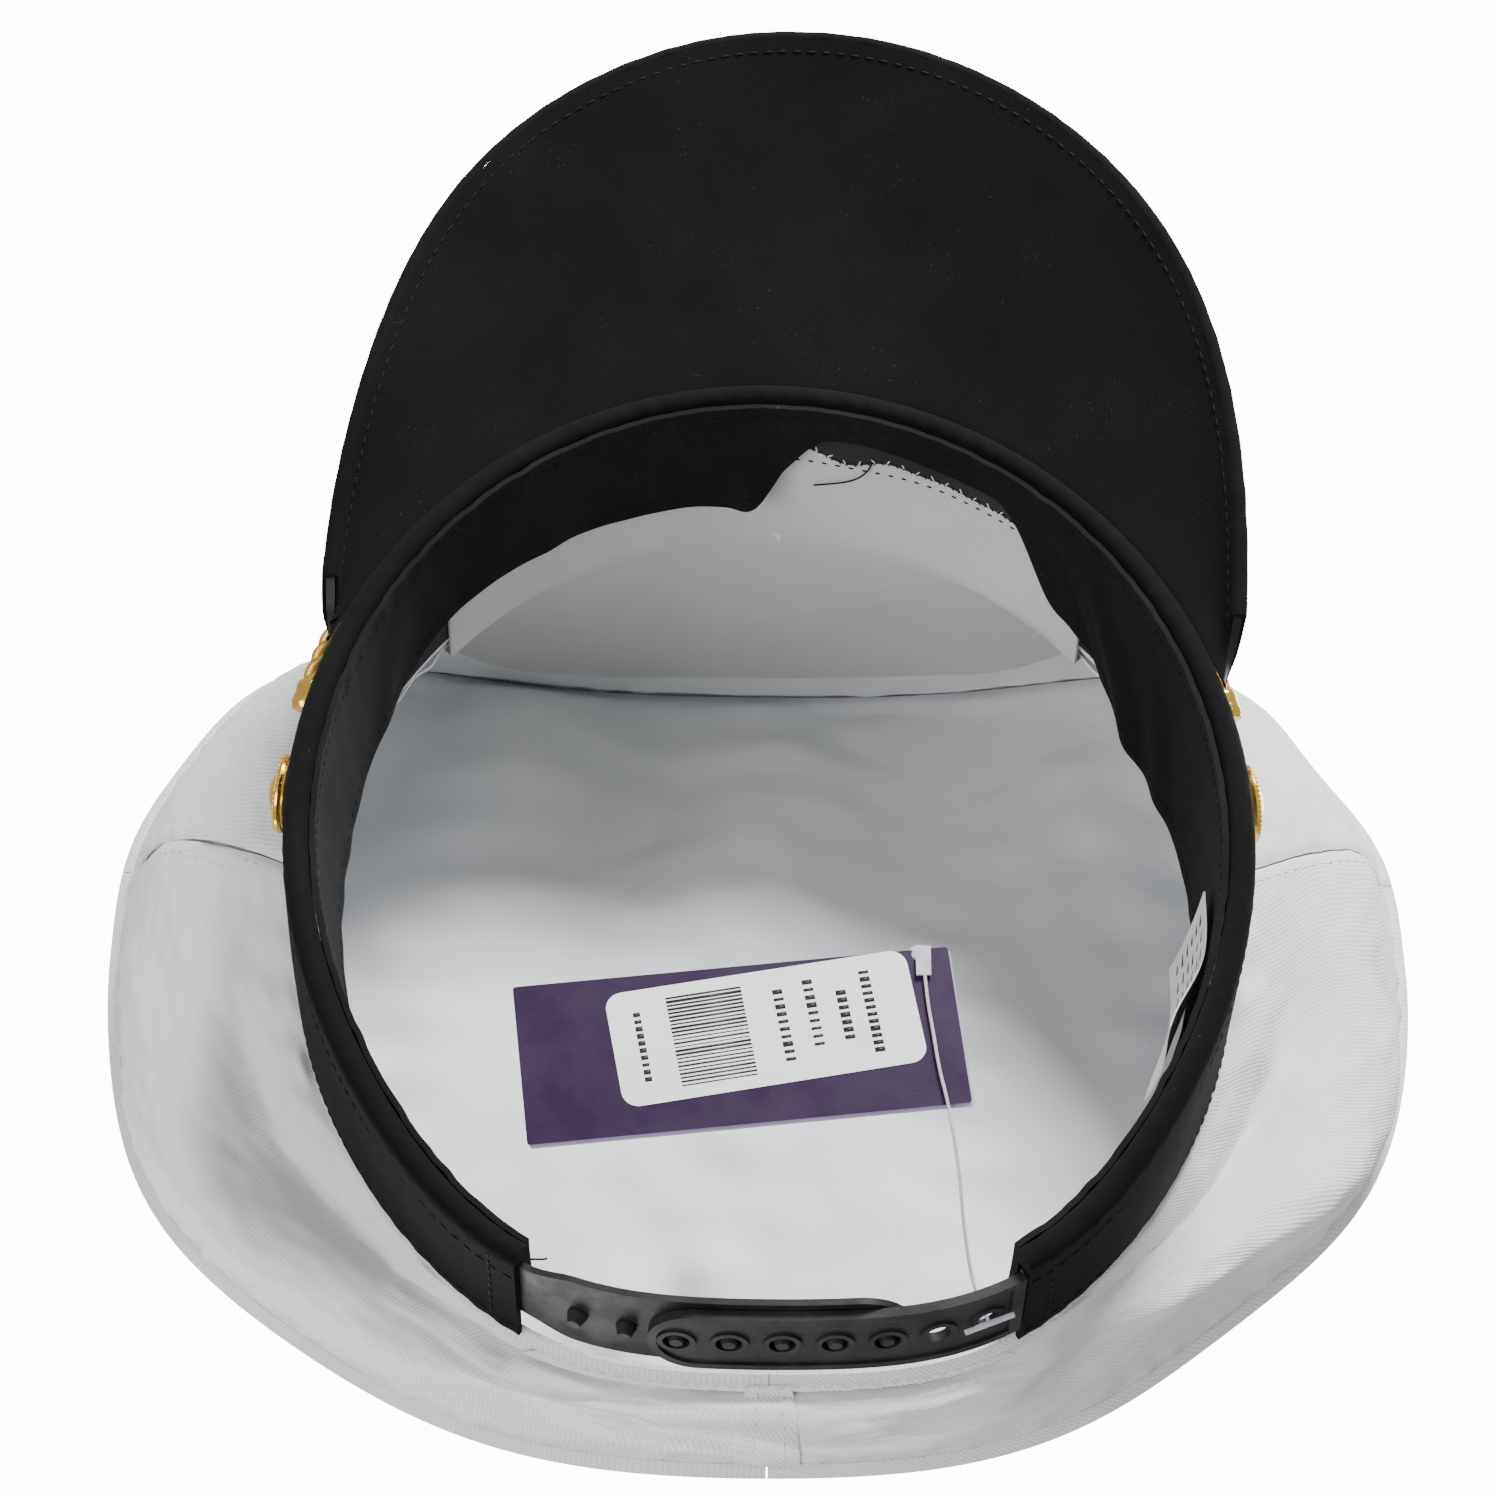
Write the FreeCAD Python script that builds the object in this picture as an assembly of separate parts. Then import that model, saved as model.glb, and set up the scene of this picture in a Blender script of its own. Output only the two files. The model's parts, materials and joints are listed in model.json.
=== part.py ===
"""Yacht cap with a peaked front: soft crown, cloth band, stiff visor, snap strap and swing tag."""
import FreeCAD, Part
import math
import os

Vector = FreeCAD.Vector

# The cap is modelled in the band's frame, in millimetres: the origin is the centre of the head
# opening on the band's lower edge, +Z is up towards the crown, the visor points to -Y and the
# wearer's left is +X. Angles round the head are degrees from the front centre towards +X.
# stand() then tips the cap back to how it rests on a table, on the visor's tip and the band's rear.

# Band
BAND_HALF_WIDTH = 88.0
BAND_FRONT = 102.5
BAND_REAR = 104.5
BAND_REAR_SQUARE = 0.38         # how much the rear is flattened either side of its centre
BAND_HEIGHT = 40.0
BAND_END_HEIGHT = 26.0          # lower at the two rear ends, where the strap starts
BAND_END = 150.7                # degrees
BAND_LEG = 1.4                  # outer cloth leg
BAND_SLOT = 2.0                 # room for the crown's tuck and the stiffener
BAND_LIP = 1.3                  # the cloth turned up inside
BAND_LIP_HEIGHT = 8.0
ROLL = (BAND_LEG + BAND_SLOT + BAND_LIP) / 2
SLOT_FLOOR = 3.5
STIFFENER_T = 0.6
SWEAT_T = 1.1
SWEAT_HEIGHT = 36.0
SWEAT_INSET = 2 * ROLL + 0.12
TAPE_T = 0.35
TAPE_HEIGHT = 13.0

# Crown
CLOTH = 0.8
TOP_CLOTH = 0.9
TUCK = 6.0                      # crown cloth caught behind the band's outer leg
ARCH_TUCK = 0.6                 # the same over the rear arch, where there is no band
SEAM = 83.5                     # degrees, where the front panel meets the quarters
RIM_HALF_WIDTH = 129.5
RIM_CENTRE = -20.0              # y of the rim's widest place
RIM_FRONT, RIM_FRONT_POWER = 92.0, 2.85
RIM_REAR, RIM_REAR_POWER = 132.0, 2.05
RIM_SIDE_Z, RIM_RISE, RIM_DROP = 82.0, 34.0, 37.0
RIM_PEAK_POWER = 7              # how narrow the raised front is
RIM_RIPPLE = 0.006
RIM_SLACK, RIM_SLACK_AT, RIM_SLACK_WIDTH = 0.10, 134.0, 23.0    # the crown's slack left rear
TOP_DOME = 7.0
TOP_TILT = 0.24
LINING_GAP = 2.2
LINING_T = 0.5
PANEL_STIFFENER_T = 0.6
PANEL_STIFFENER_FOOT, PANEL_STIFFENER_HEAD = 48.0, 21.0     # degrees either side of the front

# Visor
VISOR_END = 70.5                # degrees
VISOR_TURN = 2.6                # degrees; it is sewn on a little round to the wearer's left
VISOR_HALF_WIDTH = 84.5
VISOR_CENTRE, VISOR_REACH, VISOR_POWER = -45.0, 119.0, 2.1
VISOR_SLOPE = 28.0              # degrees below the band's lower edge plane
VISOR_Z = 2.7
VISOR_CAMBER = 1.4
BOARD_T = 1.8
COVER_T = 0.7

# Side buttons and chin cord
BUTTON_AT, BUTTON_Z = 81.9, 20.0
BUTTON_R = 7.5
BUTTON_FOOT = 2.4               # back plate's distance from the band
SHANK_R = 1.2
SHANK_CLEARANCE = 0.25
CORD_R = 2.4
CORD_FRONT_Z = 7.3
CORD_TAB_T = 1.5

# Snap strap
PEG_STRAP_Z = (1.6, 21.2)
HOLE_STRAP_Z = (3.0, 20.2)
TAIL_Z = (4.2, 19.2)            # both tails, narrower inside the band's slot
STRAP_MID_Z = 11.6
STRAP_T = 1.3
STRAP_RIM = 0.45
STRAP_GAP = 0.3
STRAP_OUTSIDE = 0.1             # inset of the hole strap's channel floor
PEG_PITCH = 5.8                 # degrees
FIRST_PEG = 190.4
PEG_R, PEG_TIP_R, PEG_H = 1.8, 1.1, 2.3
HOLE_R, RING_R = 2.3, 3.3
HOLE_STRAP_ENDS = (151.2, 193.6)
PEG_STRAP_ENDS = (164.4, 214.0)

# Badge
BADGE_R, BADGE_V = 23.0, 0.5

# How it stands
STAND_TILT = 6.9

# Swing tag, in the standing frame: it lies on the table inside the head opening, lower face down
TAG_SIZE, TAG_ANGLE, TAG_CENTRE = (76.0, 30.0), -6.6, (-5.3, 80.4)
TAG_LEAF, TAG_Z = 0.35, 0.95
STICKER_SIZE, STICKER_ANGLE, STICKER_CENTRE = (53.0, 21.8), -10.5, (-1.0, 77.2)
STICKER_T = 0.1
TAG_HOLE, TAG_HOLE_R = (25.9, 62.6), 1.5
FILAMENT_R = 0.3
FILAMENT_ROUTE = [
    (36.57, 126.51, 10.88), (34.6, 121.5, 11.2), (33.4, 115.7, 9.8), (32.5, 110.0, 6.6),
    (31.9, 104.0, 3.2), (31.0, 97.8, 1.0), (30.0, 91.2, 0.36), (28.6, 84.6, 0.34),
    (27.8, 78.0, 0.34), (26.9, 71.8, 0.34), (26.6, 67.0, 0.34),
]
TBAR_R, TBAR_LENGTH, TBAR_HOLE = 0.5, 9.0, 6


def outline(deg):
    """The band's outer outline in plan: an ellipse, a little squarer at the rear."""
    t = math.radians(deg)
    s, c = math.sin(t), math.cos(t)
    if c > 0:
        return Vector(BAND_HALF_WIDTH * s, -BAND_FRONT * c, 0)
    return Vector(BAND_HALF_WIDTH * s, -BAND_REAR * c * (1 + BAND_REAR_SQUARE * s * s * c ** 4), 0)


def ring_normal(deg):
    """The band's outward normal."""
    along = outline(deg + 0.05) - outline(deg - 0.05)
    return Vector(along.y, -along.x, 0).normalize()


def ring(deg, inset, z):
    """The point at an angle round the band, inset from its outer face."""
    point = outline(deg) - ring_normal(deg) * inset
    return Vector(point.x, point.y, z)


def ease(value, low, high):
    """0 below low, 1 above high and smooth between."""
    s = min(1.0, max(0.0, (value - low) / (high - low)))
    return s * s * (3 - 2 * s)


def bump(value, centre, width):
    """A smooth bump, 1 at its centre."""
    return math.exp(-((value - centre) / width) ** 2)


def from_front(deg):
    """How far round an angle is from the front centre, 0 to 180, on either side."""
    return abs((deg + 180) % 360 - 180)


def spaced(low, high, count):
    return [low + (high - low) * i / (count - 1) for i in range(count)]


def band_height(deg):
    return BAND_HEIGHT + (BAND_END_HEIGHT - BAND_HEIGHT) * ease(from_front(deg), 100, 148)


# ---- solids from grids of points ----

def surface(rows):
    """A smooth face through a grid of points."""
    sheet = Part.BSplineSurface()
    sheet.interpolate(rows)
    return sheet


def blended(rows):
    """A smooth face that follows a grid of points and never swings beyond it."""
    def knots(count, degree):
        spans = count - degree
        return list(range(spans + 1)), [degree + 1] + [1] * (spans - 1) + [degree + 1]

    u_knots, u_mults = knots(len(rows), 3)
    v_knots, v_mults = knots(len(rows[0]), 2)
    sheet = Part.BSplineSurface()
    sheet.buildFromPolesMultsKnots(rows, u_mults, v_mults, u_knots, v_knots, False, False, 3, 2)
    return sheet


def closed_solid(faces):
    """The solid inside faces that meet edge to edge."""
    shell = Part.makeShell(faces)
    shell.sewShape()
    solid = Part.makeSolid(Part.Shell(shell.Faces))
    if solid.Volume < 0:
        solid.reverse()
    return solid


def skin(front, back, fit=surface):
    """A thin solid between two grids of points that run side by side."""
    one, two = fit(front), fit(back)
    faces = [one.toShape(), two.toShape()]
    u0, u1, v0, v1 = one.bounds()
    w0, w1, x0, x1 = two.bounds()
    pairs = [(one.uIso(u0), two.uIso(w0)), (one.uIso(u1), two.uIso(w1)),
             (one.vIso(v0), two.vIso(x0)), (one.vIso(v1), two.vIso(x1))]
    for a, b in pairs:
        faces.append(Part.makeRuledSurface(a.toShape(), b.toShape()))
    return closed_solid(faces)


def loop(section, stations):
    """A solid whose section, at every station, is a flat closed polygon of the same corners."""
    columns = [list(column) for column in zip(*[section(s) for s in stations])]
    edges = []
    for column in columns:
        curve = Part.BSplineCurve()
        curve.interpolate(column)
        edges.append(curve.toShape())
    faces = [Part.makeRuledSurface(a, b) for a, b in zip(edges, edges[1:] + edges[:1])]
    for end in (0, -1):
        corners = [column[end] for column in columns]
        faces.append(Part.Face(Part.makePolygon(corners + corners[:1])))
    return closed_solid(faces)


def offset(rows, depth):
    """The grid moved by depth against its own normals."""
    moved = []
    for i, row in enumerate(rows):
        line = []
        for j, point in enumerate(row):
            along = rows[min(i + 1, len(rows) - 1)][j] - rows[max(i - 1, 0)][j]
            across = row[min(j + 1, len(row) - 1)] - row[max(j - 1, 0)]
            line.append(point - along.cross(across).normalize() * depth)
        moved.append(line)
    return moved


# ---- band ----

def hat_band():
    """Cloth band: outer leg, rolled lower edge and the lip turned up inside."""
    inner = BAND_LEG + BAND_SLOT

    def section(deg):
        top = band_height(deg)
        points = [ring(deg, 0, top)]
        for a in (math.radians(d) for d in spaced(0, 180, 11)):
            points.append(ring(deg, ROLL - ROLL * math.cos(a), ROLL - ROLL * math.sin(a)))
        for inset, z in ((2 * ROLL, BAND_LIP_HEIGHT), (inner, BAND_LIP_HEIGHT),
                         (inner, SLOT_FLOOR), (BAND_LEG, SLOT_FLOOR), (BAND_LEG, top)):
            points.append(ring(deg, inset, z))
        return points

    body = loop(section, spaced(-BAND_END, BAND_END, 61))
    for side in (-1, 1):
        hole = Part.makeCylinder(SHANK_R + SHANK_CLEARANCE, 2.2, Vector(0, 0, -1.8))
        body = body.cut(on_button(hole, side))
    return body.Solids[0]


def upright(degs, inset, thickness, low, high, count=7):
    """A thin upright ring between two heights; inset, low and high are functions."""
    front, back = [], []
    for deg in degs:
        z_low, z_high = low(deg), high(deg)
        heights = spaced(z_low, z_high, count)
        front.append([ring(deg, inset(deg, z), z) for z in heights])
        back.append([ring(deg, inset(deg, z) + thickness, z) for z in heights])
    return skin(front, back)


def band_stiffener():
    """Stiff strip in the band's slot, behind the crown's tuck."""
    inset = BAND_LEG + BAND_SLOT - STIFFENER_T - 0.12
    return upright(spaced(-BAND_END + 6.5, BAND_END - 6.5, 61), lambda deg, z: inset, STIFFENER_T,
                   lambda deg: SLOT_FLOOR + 0.05, lambda deg: band_height(deg) - 2.5, 4)


def sweat_top(deg):
    """Free upper edge of the sweatband, lower over a stretch left of the front."""
    side = (deg + 180) % 360 - 180
    top = SWEAT_HEIGHT - 12.0 * bump(side, 15.5, 11.0) + 0.7 * math.cos(math.radians(9 * side))
    return top + (BAND_END_HEIGHT - 3.0 - SWEAT_HEIGHT) * ease(from_front(deg), 100, 148)


def sweat_inset(deg, z):
    """The sweatband leans inward towards its free edge, most at a pinched fold by the front."""
    side = (deg + 180) % 360 - 180
    lean = 2.6 + 5.0 * bump(side, -1.0, 5.0) + 0.6 * math.sin(math.radians(7 * side))
    return SWEAT_INSET + lean * (z / SWEAT_HEIGHT) ** 2


def sweatband():
    return upright(spaced(-BAND_END + 0.6, BAND_END - 0.6, 101), sweat_inset, SWEAT_T,
                   lambda deg: 1.6, sweat_top)


def seam_tape():
    """Overcast tape that covers the seam between band and crown inside the front."""
    inset = 2 * ROLL - TAPE_T - 0.05
    return upright(spaced(-60, 60, 31), lambda deg, z: inset, TAPE_T,
                   lambda deg: BAND_HEIGHT + 1.0 - TAPE_HEIGHT, lambda deg: BAND_HEIGHT + 1.0, 4)


# ---- crown ----

def rim_place(x, y):
    """Where a plan point lies inside the rim: 0 at the centre and 1 on the rim, and its
    forward share of the way round, 1 at the front centre and -1 at the rear."""
    front = y < RIM_CENTRE
    reach = RIM_FRONT if front else RIM_REAR
    power = RIM_FRONT_POWER if front else RIM_REAR_POWER
    across = abs(x) / RIM_HALF_WIDTH
    along = abs(y - RIM_CENTRE) / reach
    rho = (across ** power + along ** power) ** (1 / power)
    if rho < 1e-9:
        return 0.0, 0.0
    forward = (along / rho) ** (power / 2)
    return rho, forward if front else -forward


def rim_height(forward):
    """Height of the crown's rim: raised at the front centre, falling to the rear."""
    if forward > 0:
        return RIM_SIDE_Z + RIM_RISE * forward ** RIM_PEAK_POWER
    return RIM_SIDE_Z - RIM_DROP * (-forward) ** 1.25


def top_height(x, y):
    """Upper face of the crown's top."""
    rho, forward = rim_place(x, y)
    share = min(rho, 1.15)
    base = RIM_SIDE_Z - TOP_TILT * (y - RIM_CENTRE)
    if rho < 1e-9:
        return base + TOP_DOME
    rim_y = RIM_CENTRE + (y - RIM_CENTRE) / rho
    rest = rim_height(forward) - (RIM_SIDE_Z - TOP_TILT * (rim_y - RIM_CENTRE))
    return base + rest * share ** 2.6 + TOP_DOME * (1 - share ** 2)


def rim_plan(deg, rho=1.0):
    """A plan point on the rim, or on a smaller copy of it."""
    t = math.radians(deg)
    s, c = math.sin(t), math.cos(t)
    reach = RIM_FRONT if c > 0 else RIM_REAR
    power = RIM_FRONT_POWER if c > 0 else RIM_REAR_POWER
    size = rho * (1 + RIM_RIPPLE * math.cos(9 * t)
                  - RIM_SLACK * bump(deg % 360, RIM_SLACK_AT, RIM_SLACK_WIDTH))
    x = RIM_HALF_WIDTH * math.copysign(abs(s) ** (2 / power), s) * size
    y = RIM_CENTRE - reach * math.copysign(abs(c) ** (2 / power), c) * size
    return x, y


def rim_point(deg, rho, below):
    x, y = rim_plan(deg, rho)
    return Vector(x, y, top_height(x, y) - below)


def wall_rows(degs):
    """Outer face of the crown's side: from the tuck behind the band, over its top edge and
    out to the rim."""
    rows = []
    for deg in degs:
        top = band_height(deg)
        tuck = TUCK + (ARCH_TUCK - TUCK) * ease(from_front(deg), 143, 149)
        fold = BAND_LEG + 0.2
        start = ring(deg, 0.4, top + 1.15)
        end = rim_point(deg, 0.99, TOP_CLOTH + 0.4)
        ahead = max(0.0, math.cos(math.radians(deg))) ** 2
        out = Vector(end.x - start.x, end.y - start.y, 0)
        bend = start + out * (0.72 - 0.22 * ahead)
        bend.z += (end.z - start.z) * (0.14 + 0.3 * ahead)
        row = [ring(deg, fold, top - tuck * share) for share in (1.0, 0.66, 0.33, 0.08)]
        row += [ring(deg, fold - 0.02, top + 0.1), ring(deg, fold - 0.4, top + 0.8), start]
        for v in (0.06, 0.14, 0.25, 0.4, 0.55, 0.7, 0.85, 1.0):
            row.append(start * (1 - v) ** 2 + bend * (2 * v * (1 - v)) + end * v ** 2)
        rows.append(row)
    return rows


def crown_wall(low, high, count, thickness=CLOTH):
    rows = wall_rows(spaced(low, high, count))
    return skin(rows, offset(rows, thickness), blended)


def front_panel():
    return crown_wall(-SEAM + 0.15, SEAM - 0.15, 41)


def left_quarter():
    return crown_wall(SEAM + 0.15, 179.9, 33)


def right_quarter():
    return crown_wall(180.1, 360 - SEAM - 0.15, 33)


def back_seam():
    """Felled seam that laps one quarter over the other at the centre of the rear."""
    rows = [row[7:-1] + [row[-1] + (row[-2] - row[-1]) * 0.06]
            for row in wall_rows(spaced(177.4, 182.6, 5))]
    return skin(offset(rows, -0.08), offset(rows, -0.75), blended)


def rear_hem():
    """Turned hem inside the lower edge of the quarters, over the strap."""
    rows = [row[4:10] for row in wall_rows(spaced(153.5, 206.5, 33))]
    return skin(offset(rows, CLOTH + 0.25), offset(rows, CLOTH + 1.1), blended)


def side_lining():
    """Lining of the crown's side, open by a seam at the rear centre."""
    rows = [row[6:-1] for row in wall_rows(spaced(-179.6, 179.6, 91))]
    return skin(offset(rows, LINING_GAP), offset(rows, LINING_GAP + LINING_T), blended)


def front_stiffener():
    """Sheet that holds the front panel up: as wide at its head as at its foot, round corners."""
    count = 31
    front = []
    inset = BAND_LEG + BAND_SLOT + 0.1
    for i in range(count):
        u = 2 * i / (count - 1) - 1
        foot, head = u * PANEL_STIFFENER_FOOT, u * PANEL_STIFFENER_HEAD
        round_off = 0.915 - 0.10 * abs(u) ** 10
        row = [ring(foot, inset, BAND_HEIGHT + z) for z in (-9, -6, -3, 0, 2, 4)]
        for v in spaced(0.10, round_off, 9):
            line = wall_rows([foot + (head - foot) * v - 0.5, foot + (head - foot) * v,
                              foot + (head - foot) * v + 0.5])
            line = offset([r[6:] for r in line], LINING_GAP + LINING_T + 0.75)[1]
            row.append(along_row(line, v))
        front.append(row)
    return skin(front, offset(front, PANEL_STIFFENER_T), blended)


def along_row(points, v):
    """The point at a share of the way along a row of points."""
    steps = [(b - a).Length for a, b in zip(points, points[1:])]
    left = v * sum(steps)
    for a, b, step in zip(points, points[1:], steps):
        if left <= step:
            return a + (b - a) * (left / step)
        left -= step
    return points[-1]


def oval_prism(rho):
    """Upright prism on the rim's plan outline."""
    points = []
    for deg in range(0, 360, 5):
        x, y = rim_plan(deg, rho)
        points.append(Vector(x, y, 20))
    curve = Part.BSplineCurve()
    curve.interpolate(points, True)
    return Part.Face(Part.Wire(curve.toShape())).extrude(Vector(0, 0, 130))


def crown_disc(rho, drop, thickness):
    """A disc that follows the crown's top at a depth below its upper face."""
    def rows(below):
        return [[Vector(x, y, top_height(x, y) - below) for y in spaced(-137, 117, 34)]
                for x in spaced(-135, 135, 35)]
    return skin(rows(drop), rows(drop + thickness)).common(oval_prism(rho)).Solids[0]


def crown_top():
    return crown_disc(1.0, 0.0, TOP_CLOTH)


def crown_lining():
    return crown_disc(0.944, 3.9, LINING_T)


# ---- visor ----

def visor_rows(count=45):
    """Middle surface of the visor: straight lines from the band out to the edge."""
    rows = []
    for u in spaced(-1, 1, count):
        root = ring(VISOR_END * u + VISOR_TURN, -0.85, VISOR_Z)
        t = math.radians(90 * u)
        s, c = math.sin(t), max(0.0, math.cos(t))
        x = VISOR_HALF_WIDTH * math.copysign(abs(s) ** (2 / VISOR_POWER), s)
        edge = Vector(x, VISOR_CENTRE - VISOR_REACH * c ** (2 / VISOR_POWER), VISOR_Z)
        edge = FreeCAD.Rotation(Vector(0, 0, 1), VISOR_TURN).multVec(edge)
        edge.z -= math.tan(math.radians(VISOR_SLOPE)) * (edge - root).Length
        row = []
        for v in spaced(0, 1, 9):
            point = root + (edge - root) * v
            point.z += VISOR_CAMBER * math.sin(math.pi * v)
            row.append(point)
        rows.append(row)
    return rows


def visor_layer(low, high):
    rows = visor_rows()
    return skin(offset(rows, low), offset(rows, high))


def visor_board():
    return visor_layer(-BOARD_T / 2, BOARD_T / 2)


def visor_top_cover():
    return visor_layer(BOARD_T / 2 + 0.02, BOARD_T / 2 + COVER_T)


def visor_under_cover():
    return visor_layer(-BOARD_T / 2 - 0.02, -BOARD_T / 2 - COVER_T)


def visor_edge():
    """Turned cloth round the visor's free edge: a half round on the ends of the layers."""
    rows = visor_rows()
    radius = BOARD_T / 2 + COVER_T
    low = offset(rows, -radius)
    frames = []
    for i, row in enumerate(rows):
        centre = row[-1]
        up = (centre - low[i][-1]).normalize() * radius
        along = rows[min(i + 1, len(rows) - 1)][-1] - rows[max(i - 1, 0)][-1]
        out = along.cross(up).normalize() * radius
        if out.dot(row[-1] - row[-2]) < 0:
            out = out * -1
        frames.append((centre + out * 0.03, up, out))

    def half_round(frame):
        centre, up, out = frame
        return [centre + up * math.cos(a) + out * math.sin(a)
                for a in (math.radians(d) for d in spaced(0, 180, 9))]

    return loop(half_round, frames)


# ---- buttons and chin cord ----

def on_button(shape, side):
    """Moves a shape made on +Z to a side button: its origin on the band's outer face."""
    normal = ring_normal(side * BUTTON_AT)
    place = FreeCAD.Placement(ring(side * BUTTON_AT, 0, BUTTON_Z),
                              FreeCAD.Rotation(Vector(0, 0, 1), normal))
    moved = shape.copy()
    moved.Placement = place
    return moved


def turned(points):
    """A solid of revolution about Z from (radius, height) points."""
    wire = Part.makePolygon([Vector(r, 0, h) for r, h in points + points[:1]])
    return Part.Face(wire).revolve(Vector(0, 0, 0), Vector(0, 0, 1), 360)


def button_shell(side):
    """Domed gilt shell with a beaded rim."""
    foot = BUTTON_FOOT + 0.55
    dome = [(0, foot + 3.1)]
    for a in (math.radians(d) for d in range(8, 45, 6)):
        dome.append((8.6 * math.sin(a), foot + 3.1 - 8.6 * (1 - math.cos(a))))
    outside = dome + [(6.1, foot + 0.75), (6.5, foot + 0.95), (7.1, foot + 1.0),
                      (7.4, foot + 0.7), (BUTTON_R, foot + 0.3), (7.35, foot - 0.2),
                      (6.95, foot - 0.2), (6.95, foot + 0.45), (5.9, foot + 0.45)]
    inside = [(r * 0.93, h - 0.45) for r, h in reversed(dome[:-1])]
    return on_button(turned(outside + inside), side)


def button_back(side):
    """Back plate with the shank that goes through the cord's tab and the band."""
    low = BUTTON_FOOT
    plate = turned([(0, low), (6.8, low), (6.8, low + 0.55), (3.0, low + 0.55), (3.0, low + 0.85),
                    (0, low + 0.85)])
    shank = Part.makeCylinder(SHANK_R, low + BAND_LEG + 0.75, Vector(0, 0, -BAND_LEG - 0.75))
    return on_button(plate.fuse(shank).removeSplitter().Solids[0], side)


def button_washer(side):
    """Spring washer pressed on the shank inside the band."""
    outer = Part.makeCylinder(3.4, 0.5, Vector(0, 0, -BAND_LEG - 0.6))
    return on_button(outer.cut(Part.makeCylinder(SHANK_R, 2, Vector(0, 0, -BAND_LEG - 1))), side)


def chin_cord():
    """Twisted gilt cord across the front, with a flat tab at each end round the shank."""
    end = 73.5
    stations = spaced(-end, end, 57)

    def centre(deg):
        rise = (BUTTON_Z - CORD_FRONT_Z) * (abs(deg) / BUTTON_AT) ** 6
        return ring(deg, -CORD_R - 0.6, CORD_FRONT_Z + rise)

    def section(deg):
        along = (centre(deg + 0.4) - centre(deg - 0.4)).normalize()
        up = along.cross(ring_normal(deg)).normalize()
        out = up.cross(along).normalize()
        return [centre(deg) + (out * math.cos(a) + up * math.sin(a)) * CORD_R
                for a in (math.radians(d) for d in range(0, 360, 20))]

    cord = loop(section, stations)
    for side in (-1, 1):
        inward = on_button(Part.Vertex(0, 0, 0), side).Point
        reach = centre(side * end) - inward
        flat = Part.makeBox(reach.Length, 5.4, CORD_TAB_T, Vector(0, -2.7, 0.5))
        flat = flat.fuse(Part.makeCylinder(4.6, CORD_TAB_T, Vector(0, 0, 0.5)))
        flat = flat.cut(Part.makeCylinder(SHANK_R + 0.35, 4, Vector(0, 0, -1)))
        normal = ring_normal(side * BUTTON_AT)
        ahead = (reach - normal * reach.dot(normal)).normalize()
        spin = FreeCAD.Rotation(ahead, normal.cross(ahead), normal, "ZXY")
        flat.Placement = FreeCAD.Placement(inward, spin)
        cord = cord.fuse(flat)
    return cord.removeSplitter().Solids[0]


# ---- snap strap ----

def strap_blank(ends, heights, inset, thickness, count=25):
    return upright(spaced(ends[0], ends[1], count), lambda deg, z: inset, thickness,
                   lambda deg: heights[0], lambda deg: heights[1], 4)


def on_strap(shape, deg, inset):
    """Moves a shape made on +Z to the strap's middle line, pointing outward."""
    moved = shape.copy()
    moved.Placement = FreeCAD.Placement(ring(deg, inset, STRAP_MID_Z),
                                        FreeCAD.Rotation(Vector(0, 0, 1), ring_normal(deg)))
    return moved


def rounded_end(strap, deg, heights, towards):
    """Rounds the strap's free end to a half circle as seen from outside."""
    radius = (heights[1] - heights[0]) / 2
    block = Part.makeBox(30, 2 * radius + 2, 12, Vector(0, -radius - 1, -6))
    block = block.cut(Part.makeCylinder(radius, 14, Vector(0, 0, -7)))
    centre = deg - towards * math.degrees(radius / BAND_HALF_WIDTH)
    normal = ring_normal(centre)
    ahead = Vector(0, 0, 1).cross(normal) * towards
    spin = FreeCAD.Rotation(ahead, normal.cross(ahead), normal, "ZXY")
    middle = (heights[0] + heights[1]) / 2
    block.Placement = FreeCAD.Placement(ring(centre, 0, middle), spin)
    return strap.cut(block).Solids[0]


def hole_degs():
    return [FIRST_PEG - PEG_PITCH * k for k in range(7)]


def hole_strap():
    """Outer half of the strap: a recessed channel with seven ringed holes."""
    floor = STRAP_OUTSIDE
    blank = strap_blank(HOLE_STRAP_ENDS, HOLE_STRAP_Z, floor - STRAP_RIM, STRAP_T + STRAP_RIM)
    blank = rounded_end(blank, HOLE_STRAP_ENDS[1], HOLE_STRAP_Z, 1)
    margin = 1.5
    inside = (HOLE_STRAP_ENDS[0] + 1.5, HOLE_STRAP_ENDS[1] - 1.0)
    heights = (HOLE_STRAP_Z[0] + margin, HOLE_STRAP_Z[1] - margin)
    channel = strap_blank(inside, heights, floor - STRAP_RIM - 1, STRAP_RIM + 1)
    channel = rounded_end(channel, inside[1], heights, 1)
    strap = blank.cut(channel)
    for deg in hole_degs():
        collar = Part.makeCylinder(RING_R, STRAP_RIM + 0.4, Vector(0, 0, -0.4))
        strap = strap.fuse(on_strap(collar, deg, floor))
    for deg in hole_degs():
        strap = strap.cut(on_strap(Part.makeCylinder(HOLE_R, 8, Vector(0, 0, -4)), deg, floor))
    return strap.removeSplitter().Solids[0]


def hole_strap_anchor():
    """Tail of the hole strap, sewn into the band's slot."""
    return strap_blank((144.0, BAND_END + 0.1), TAIL_Z, BAND_LEG + 0.05, 0.95, 5)


def peg_inset():
    return STRAP_OUTSIDE + STRAP_T + STRAP_GAP


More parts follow.
